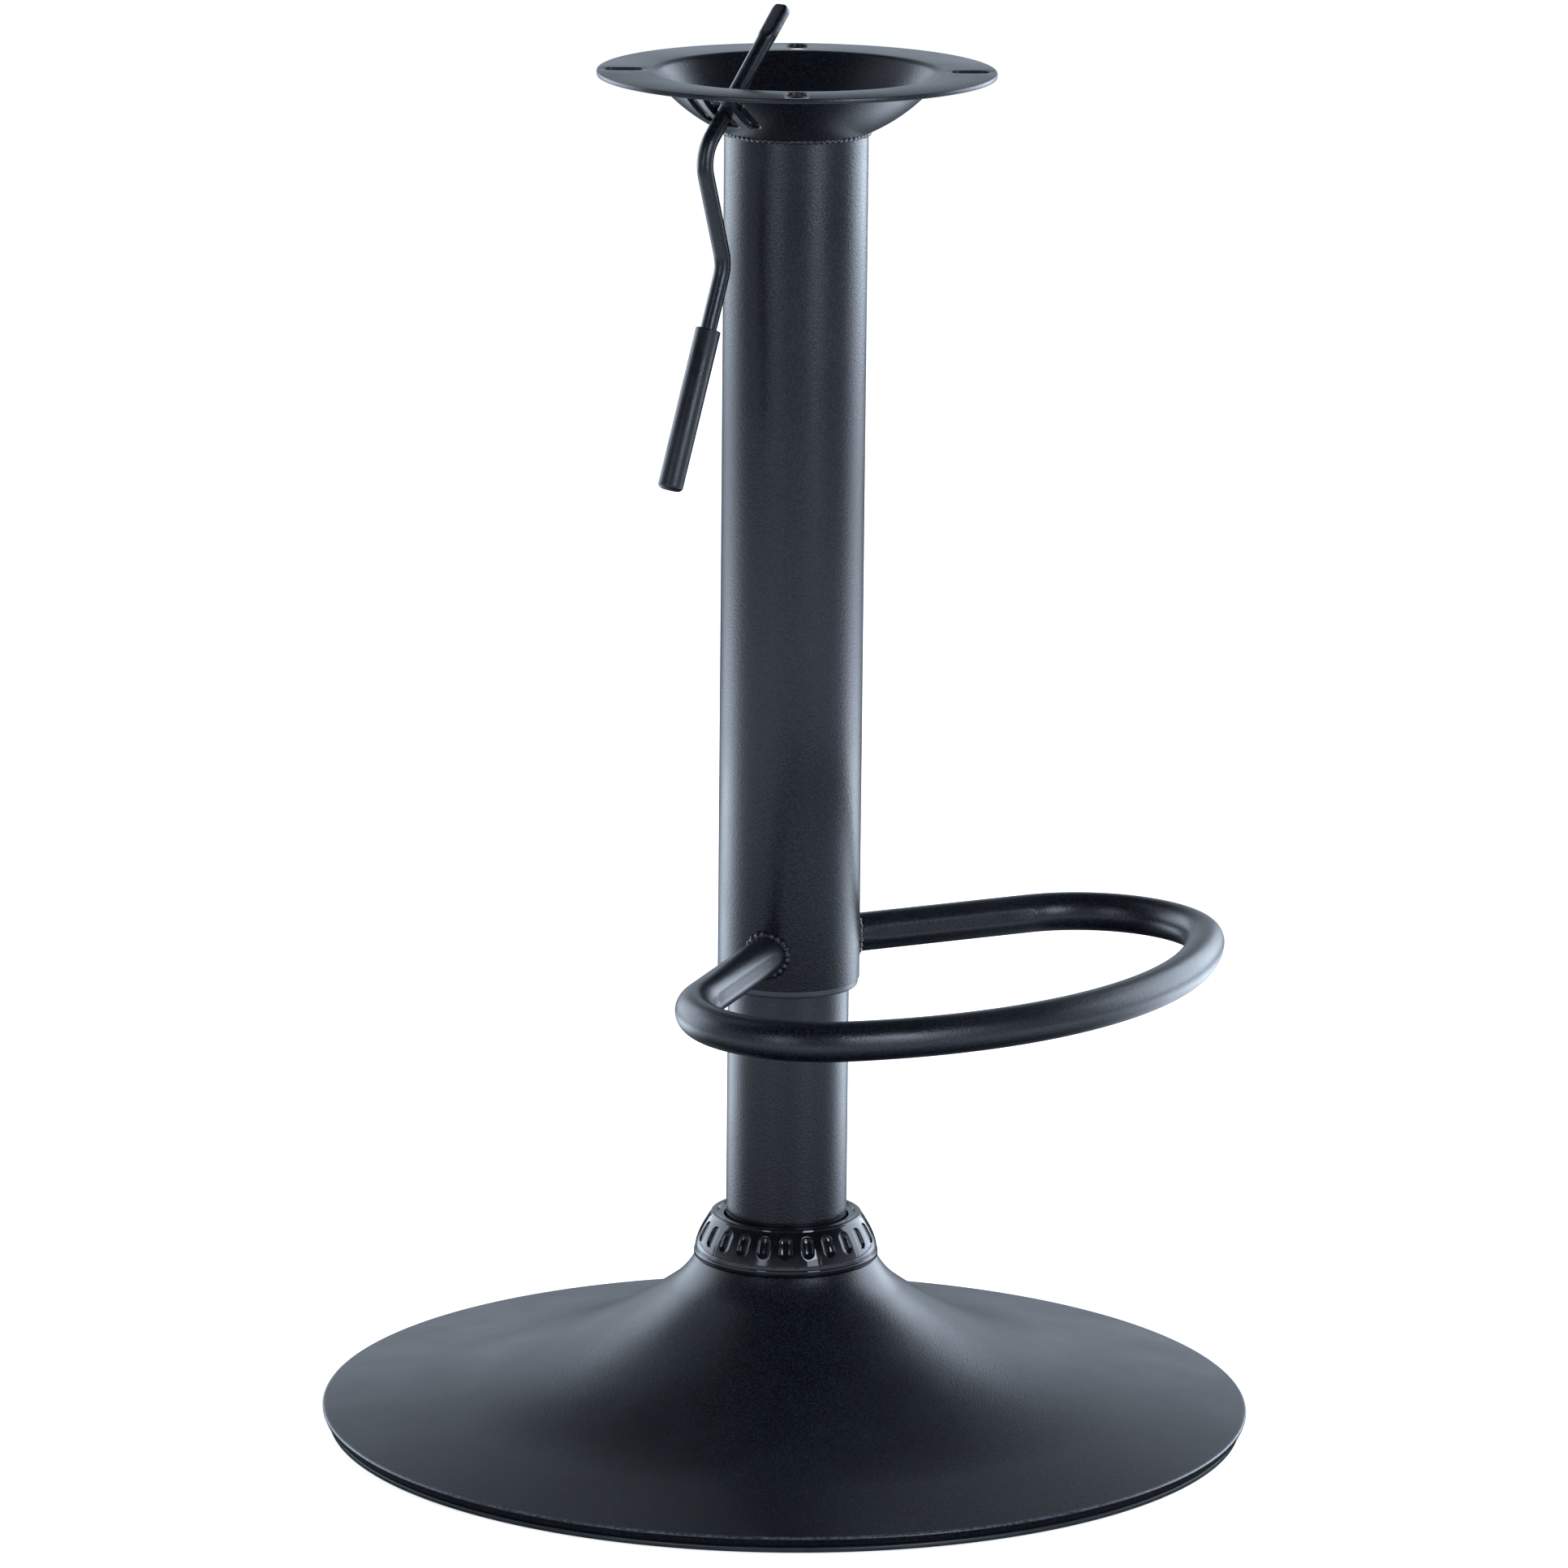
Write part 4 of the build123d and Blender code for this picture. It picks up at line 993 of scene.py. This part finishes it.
front_centre = FOOT_REACH - FOOT_FRONT_R
corner_x = FOOT_HALF_WIDTH - FOOT_CORNER_R
corner_y = front_centre + sqrt((FOOT_FRONT_R - FOOT_CORNER_R) ** 2 - corner_x**2)
arm_length = sqrt(corner_x**2 + corner_y**2 - FOOT_CORNER_R**2)
arm_angle = degrees(atan2(corner_y, corner_x) - atan2(FOOT_CORNER_R, arm_length))
front_half = degrees(atan2(corner_x, corner_y - front_centre))
corner_turn = 180 - front_half - arm_angle
arm_run = arm_length - ARM_ROOT
arm = Vector((cos(radians(arm_angle)), sin(radians(arm_angle))))
clamp_start = CLAMP_START + SLEEVE_R - ARM_ROOT
arm_parts = [clamp_start, CLAMP_RUN_OUT / 3, CLAMP_RUN_OUT / 3, CLAMP_RUN_OUT / 3]
arm_parts += [(arm_run - sum(arm_parts) - 3 * CLAMP_STEP) / 6] * 6 + [CLAMP_STEP] * 3
arm_press = [0, 0, 0.35, 0.8] + [1] * 7 + [0.75, 0.3, 0]
loop = walk(arm * ARM_ROOT, arm_angle, [(part,) for part in arm_parts] + [
    (FOOT_CORNER_R, corner_turn, 40),
    (FOOT_FRONT_R, 2 * front_half, 64),
    (FOOT_CORNER_R, corner_turn, 40),
] + [(part,) for part in arm_parts[::-1]])
press = arm_press + [0] * (len(loop) - 2 * len(arm_press)) + arm_press[::-1]
foot_across = heading(FOOT_TURN).cross(Vector((0, 0, 1)))
foot_out = heading(FOOT_TURN)
loop_line = line_mesh("loop_line", [
    foot_across * point.x + foot_out * point.y + Vector((0, 0, FOOT_Z)) for point, angle in loop])
pressed_marks = loop_line.attributes.new("pressed", "FLOAT", "POINT")
pressed_marks.data.foreach_set("value", press)
inward_marks = loop_line.attributes.new("inward", "FLOAT_VECTOR", "POINT")
for mark, (point, angle) in zip(inward_marks.data, loop):
    level_in = foot_across * -sin(angle) + foot_out * cos(angle)
    mark.vector = level_in * cos(radians(CLAMP_TILT)) + Vector((0, 0, sin(radians(CLAMP_TILT))))
foot_coat = powder("powder_footrest", 0.32, 0.12)
footrest = grown("footrest_loop", loop_line, clamped_tube_tree(),
                 {"Tube Radius": FOOT_TUBE_R * MM, "Flat Depth": CLAMP_FLAT * MM, "Finish": foot_coat})
smooth(footrest, 40)
fitted("footrest_loop", footrest, foot_coat, "upper", "powder_black", "footrest")


def saddle(direction, steps):
    """Line where an arm of the footrest meets the sleeve."""
    side = Vector((-direction.y, direction.x, 0))
    points = []
    for step in range(steps):
        angle = 2 * pi * step / steps
        shift = (FOOT_TUBE_R + WELD_STAND) * cos(angle)
        rise = (FOOT_TUBE_R + WELD_STAND) * sin(angle)
        out = sqrt((SLEEVE_R + WELD_OUT) ** 2 - shift**2)
        points.append(direction * out + side * shift + Vector((0, 0, FOOT_Z + rise)))
    return points


for end, sign in (("near", 1), ("far", -1)):
    arm_direction = foot_across * arm.x * sign + foot_out * arm.y
    weld(f"footrest_weld_{end}", saddle(arm_direction, 72), bead=1.8, lumps=1.2)

# Lever: a 6.7 mm steel rod, bent twice, flattened where it presses the valve button, and powder coated.
# Two ears pinched out of it rock on the strips of the bowl.

LEVER_PIVOT_ANGLE = 39.2  # degrees from the bottom of the bowl
LEVER_HANG = 3.4          # degrees off square to the bowl
LEVER_R = 3.35
EAR_R = 2.0
EAR_SPAN = 16.0
EAR_GAP = 0.3             # from the ears to the strips
LEVER_INNER = 51.0
LEVER_REACH = 24.0
LEVER_DROP = 47.9
LEVER_HANDLE = 93.5
LEVER_BEND_OUT = 60.0
LEVER_BEND_BACK = 38.2
LEVER_BEND_R = 15.8
TIP_LENGTH = 18.0         # to where the flat has gone
TIP_WIDTH = 7.4
TIP_THICK = 4.4
TIP_FADE = 5.0            # length over which the flat runs out into the round rod
TIP_CORNER_R = 3.0
TIP_EDGE_R = 1.0
TIP_END = 0.35            # width of the very end, as a share
TIP_SQUARE = 2.2          # how much squarer the flat's section is than the rod's
ROD_SIDES = 32
GRIP_END_WALL = 5.0

lever_out = heading(LEVER_TURN)
lever_up = Vector((0, 0, 1))
lever_across = lever_out.cross(lever_up)
pivot_reach = sqrt(BOWL_INNER_R**2 - (EAR_SPAN / 2) ** 2) - EAR_GAP - EAR_R
pivot_down = radians(LEVER_PIVOT_ANGLE)
pivot = Vector((0, BOWL_CENTRE_Z)) + Vector((sin(pivot_down), -cos(pivot_down))) * pivot_reach
lever_tilt = LEVER_PIVOT_ANGLE - 90 + LEVER_HANG
lever_aim = Vector((cos(radians(lever_tilt)), sin(radians(lever_tilt))))
tip = pivot - lever_aim * LEVER_INNER
bend_out_run = LEVER_BEND_R * tan(radians(LEVER_BEND_OUT / 2))
bend_back_run = LEVER_BEND_R * tan(radians(LEVER_BEND_BACK / 2))
tip_steps = [0.06, 0.14, 0.2, 0.3, 0.4, 0.5, 0.7, 0.9, 8.8, 1, 1, 1, 1, 1, 1]
first_run = LEVER_INNER + LEVER_REACH - bend_out_run
lever_line = walk(tip, lever_tilt, [(step,) for step in tip_steps] + [
    (first_run - sum(tip_steps),),
    (LEVER_BEND_R, -LEVER_BEND_OUT, 20),
    (LEVER_DROP - bend_out_run - bend_back_run,),
    (LEVER_BEND_R, LEVER_BEND_BACK, 14),
    (LEVER_HANDLE - bend_back_run - GRIP_END_WALL,),
])


def rod_section(run):
    """Half width, half thickness and squareness of the rod, this far from its tip."""
    flat = max(0.0, min(1.0, (TIP_LENGTH - run) / TIP_FADE))
    flat = flat * flat * (3 - 2 * flat)
    width = LEVER_R + (TIP_WIDTH / 2 - LEVER_R) * flat
    thick = LEVER_R + (TIP_THICK / 2 - LEVER_R) * flat
    round_w = sqrt(1 - (1 - min(1.0, run / TIP_CORNER_R)) ** 2)
    round_t = sqrt(1 - (1 - min(1.0, run / TIP_EDGE_R)) ** 2)
    width = width * (TIP_END + (1 - TIP_END) * round_w) * min(1, run / 0.05)
    return width, thick * round_t, 2 + TIP_SQUARE * flat


def lever_point(place, across):
    """Point of the lever's upright plane, in the frame."""
    return lever_out * place.x + lever_up * place.y + lever_across * across


def rod_mesh():
    """Rod along the lever's line with its flattened tip."""
    shape = bmesh.new()
    rings = []
    run = 0.0
    before = lever_line[0][0]
    for place, angle in lever_line:
        run += (place - before).length
        before = place
        width, thick, square = rod_section(max(run, 0.004))
        side = Vector((-sin(angle), cos(angle)))
        ring = []
        for step in range(ROD_SIDES):
            bend = 2 * pi * step / ROD_SIDES
            x = width * abs(cos(bend)) ** (2 / square) * (1 if cos(bend) >= 0 else -1)
            y = thick * abs(sin(bend)) ** (2 / square) * (1 if sin(bend) >= 0 else -1)
            ring.append(lever_point(place + side * y, x))
        rings.append(ring)
    add_cutter(shape, rings)
    return mesh_of("lever_rod_bar", shape, 40)


def ear_mesh():
    """Pin of the two ears, with rounded ends."""
    half = EAR_SPAN / 2
    outline = [(0, -half), (EAR_R - 0.6, -half), (EAR_R - 0.18, -half + 0.18), (EAR_R, -half + 0.6)]
    outline += [(r, -z) for r, z in outline[::-1]]
    mesh = spun("lever_ears", outline, 32)
    centre = lever_point(pivot, 0) * MM
    turn = Matrix((lever_out, lever_up, lever_across)).transposed().to_4x4()
    mesh.transform(Matrix.Translation(centre) @ turn)
    return mesh


lever_coat = powder("powder_lever", 0.3, 0.08)
lever = cut(rod_mesh(), ear_mesh(), "UNION")
smooth(lever, 40)
fitted("lever_rod_bar", lever, lever_coat, "lever", "powder_black", "lever_rod")

# Grip of the lever: a moulded sleeve of matt black plastic with a fine grain, pushed on the end of the rod.
# Its closed end is rounded, and its open end lies flat round the rod.

GRIP_LENGTH = 66.6
GRIP_R = 5.15
GRIP_BORE_R = LEVER_R + 0.1
GRIP_ROUND = 2.0

grip_plastic = plastic("grip_plastic", (0.0055, 0.0066, 0.0095), 0.4, 1300.0, 0.09)
grip_outline = [
    (0, GRIP_LENGTH - GRIP_END_WALL),
    (GRIP_BORE_R, GRIP_LENGTH - GRIP_END_WALL),
    (GRIP_BORE_R, 0.3),
    (GRIP_BORE_R + 0.3, 0),
    (GRIP_R - 0.5, 0),
    (GRIP_R - 0.15, 0.15),
    (GRIP_R, 0.5),
]
for bend in quarter_turn(8):
    grip_outline.append((GRIP_R - GRIP_ROUND * (1 - cos(bend)), GRIP_LENGTH - GRIP_ROUND * (1 - sin(bend))))
grip_outline.append((0, GRIP_LENGTH))
grip = spun("lever_grip_moulding", grip_outline, 56)
handle_angle = lever_line[-1][1]
handle = Vector((cos(handle_angle), sin(handle_angle)))
grip_foot = lever_line[-1][0] + handle * (GRIP_END_WALL - GRIP_LENGTH)
handle_axis = lever_out * handle.x + lever_up * handle.y
handle_side = handle_axis.cross(lever_across)
grip_turn = Matrix((lever_across, -handle_side, handle_axis)).transposed().to_4x4()
grip.transform(Matrix.Translation(lever_point(grip_foot, 0) * MM) @ grip_turn)
fitted("lever_grip_moulding", grip, grip_plastic, "lever", "grip_black", "lever_grip")

# Valve button: a ground steel pin with a domed head that stands out of the top of the pressure tube.
# It slides in the valve body and lets the gas pass when the lever presses it.

button_low, button_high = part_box("release_button")
BUTTON_R = button_high.x / MM
BUTTON_DOME = 1.2
DOME_POWER = 0.6         # under 1 makes the dome fuller

button_outline = [(0, button_low.z / MM), (BUTTON_R, button_low.z / MM)]
for bend in quarter_turn(8)[:-1]:
    dome_r = BUTTON_R * cos(bend) ** DOME_POWER
    button_outline.append((dome_r, button_high.z / MM - BUTTON_DOME * (1 - sin(bend))))
button_outline.append((0, button_high.z / MM))
spun_piece("release_button_pin", button_outline, 40, bright_steel, "button", "polished_steel",
           "release_button")

# Studio: a pale floor that runs out to a pale surround, with soft light from behind on both sides.
# In front stand two softboxes one over the other on the right and a dimmer one on the left, and a faint one
# hangs high on the left. The light is a little blue.

FLOOR_HALF = 30.0
FLOOR_Z = -0.0003        # just clear of the edging
DAYLIGHT = (0.75, 0.865, 1.0)


def mirrored_ray(tree, rays):
    """1 on a ray that shows the studio in gloss or glass."""
    return calc(tree, "MAXIMUM", rays["Is Glossy Ray"], rays["Is Transmission Ray"])


def floor_finish():
    """Pale paint, lifted to white for the camera, with a pool of light on it for what mirrors it."""
    material = bpy.data.materials.new("floor_paint")
    material.use_nodes = True
    tree = material.node_tree
    tree.nodes.clear()
    rays = add(tree, "ShaderNodeLightPath").outputs
    glow = calc(tree, "MULTIPLY", rays["Is Camera Ray"], 0.7)
    paint = add(tree, "ShaderNodeBsdfDiffuse", {"Color": (0.85, 0.85, 0.85, 1)}).outputs[0]
    shine = add(tree, "ShaderNodeEmission", {"Color": (1, 1, 1, 1), "Strength": glow}).outputs[0]
    seen = add(tree, "ShaderNodeAddShader", {0: paint, 1: shine}).outputs[0]
    place = object_place(tree)
    far_off = length_of(tree, place)
    # seen in gloss, the floor is dim close to the stool: painted shade round its foot
    near = ramp(tree, far_off, 0.25, 0.6, 0.08, 1.6)
    fade = ramp(tree, far_off, 0.65, 1.3, 1.0, 0.33)
    bearing = add(tree, "ShaderNodeVectorMath", {0: place}, operation="NORMALIZE").outputs[0]
    parts = add(tree, "ShaderNodeSeparateXYZ", {0: bearing}).outputs
    sides = ramp(tree, calc(tree, "ABSOLUTE", parts[0]), 0.4, 0.75, 0.15, 4.0)
    lit = mixed(tree, ramp(tree, parts[1], 0.0, 0.5), 1.0, sides)
    pool = calc(tree, "MULTIPLY", calc(tree, "MULTIPLY", near, fade), lit)
    mirror = add(tree, "ShaderNodeEmission", {"Color": (*DAYLIGHT, 1), "Strength": pool}).outputs[0]
    both = add(tree, "ShaderNodeMixShader", {0: mirrored_ray(tree, rays), 1: seen, 2: mirror})
    add(tree, "ShaderNodeOutputMaterial", {"Surface": both.outputs[0]})
    return material


def studio_surround():
    """White for the camera, dim all round for the object, and a bright band low down for its gloss."""
    world = bpy.data.worlds.new("studio_surround")
    world.use_nodes = True
    tree = world.node_tree
    tree.nodes.clear()
    rays = add(tree, "ShaderNodeLightPath").outputs
    around = add(tree, "ShaderNodeTexCoord").outputs["Generated"]
    aim = add(tree, "ShaderNodeSeparateXYZ", {0: around}).outputs
    wall = ramp(tree, aim[2], 0.30, 0.62, 0.82, 0.05, interpolation_type="SMOOTHSTEP")
    front = ramp(tree, aim[1], -0.6, 0.2, 0.4, 1.0)
    low = ramp(tree, aim[2], 0.0, 0.22, 1.6, 1.0)
    shaded = calc(tree, "MULTIPLY", wall, calc(tree, "MULTIPLY", front, low))
    ambient = mixed(tree, mirrored_ray(tree, rays), 0.45, shaded)
    surround = add(tree, "ShaderNodeBackground", {
        "Color": mixed(tree, rays["Is Camera Ray"], (*DAYLIGHT, 1), (1, 1, 1, 1), colours=True),
        "Strength": mixed(tree, rays["Is Camera Ray"], ambient, 1.0),
    })
    add(tree, "ShaderNodeOutputWorld", {"Surface": surround.outputs[0]})
    return world


floor_mesh = bpy.data.meshes.new("studio_floor")
floor_sides = ((-1, -1), (1, -1), (1, 1), (-1, 1))
floor_corners = [(FLOOR_HALF * x, FLOOR_HALF * y, FLOOR_Z) for x, y in floor_sides]
floor_mesh.from_pydata(floor_corners, [], [(0, 1, 2, 3)])
floor_mesh.materials.append(floor_finish())
floor = bpy.data.objects.new("studio_floor", floor_mesh)
bpy.context.scene.collection.objects.link(floor)
bpy.context.scene.world = studio_surround()


def softbox(name, place, aim, width, height, power):
    """Area lamp at a place, turned to face a point."""
    lamp = bpy.data.lights.new(name, "AREA")
    lamp.shape = "RECTANGLE"
    lamp.size = width
    lamp.size_y = height
    lamp.energy = power
    lamp.color = DAYLIGHT
    obj = bpy.data.objects.new(name, lamp)
    bpy.context.scene.collection.objects.link(obj)
    obj.location = place
    obj.rotation_euler = (Vector(aim) - Vector(place)).to_track_quat("-Z", "Y").to_euler()


softbox("softbox_left", (-1.85, 1.5, 0.85), (0, 0, 0.55), 2.3, 1.7, 38)
softbox("softbox_right", (1.85, 1.4, 0.85), (0, 0, 0.55), 2.3, 1.7, 58)
softbox("softbox_front_low", (1.49, -2.13, 0.51), (0, 0, 0.51), 0.7, 0.98, 10.8)
softbox("softbox_front_high", (1.49, -2.13, 1.45), (0, 0, 1.45), 0.7, 0.9, 27.7)
softbox("softbox_front_left", (-1.3, -2.25, 1.0), (0, 0, 1.0), 0.5, 1.8, 12)
softbox("softbox_high_left", (-0.9, 0.45, 1.55), (0, 0, 0.57), 0.7, 0.7, 0.95)

# Camera: a long lens straight in front, higher than the seat plate and tipped down on the stool's middle.
# Its place, turns and lens follow the photo.

CAMERA_PLACE = Vector((0, -3.61267, 1.07806))
CAMERA_PAN = -0.00071
CAMERA_PITCH = 0.21997
CAMERA_ROLL = 0.00938
CAMERA_LENS = 206.84
CAMERA_SENSOR = 36.0

look = Vector((sin(CAMERA_PAN) * cos(CAMERA_PITCH), cos(CAMERA_PAN) * cos(CAMERA_PITCH), -sin(CAMERA_PITCH)))
camera_level = Vector((cos(CAMERA_PAN), -sin(CAMERA_PAN), 0))
upright = camera_level.cross(look)
camera_x = camera_level * cos(CAMERA_ROLL) + upright * sin(CAMERA_ROLL)
camera_y = upright * cos(CAMERA_ROLL) - camera_level * sin(CAMERA_ROLL)
camera_turn = Matrix((camera_x, camera_y, -look)).transposed().to_4x4()
camera_data = bpy.data.cameras.new("photo_camera")
camera_data.lens = CAMERA_LENS
camera_data.sensor_width = CAMERA_SENSOR
camera = bpy.data.objects.new("photo_camera", camera_data)
bpy.context.scene.collection.objects.link(camera)
camera.matrix_world = Matrix.Translation(CAMERA_PLACE) @ camera_turn
bpy.context.scene.camera = camera
bpy.context.scene.view_settings.view_transform = "Standard"
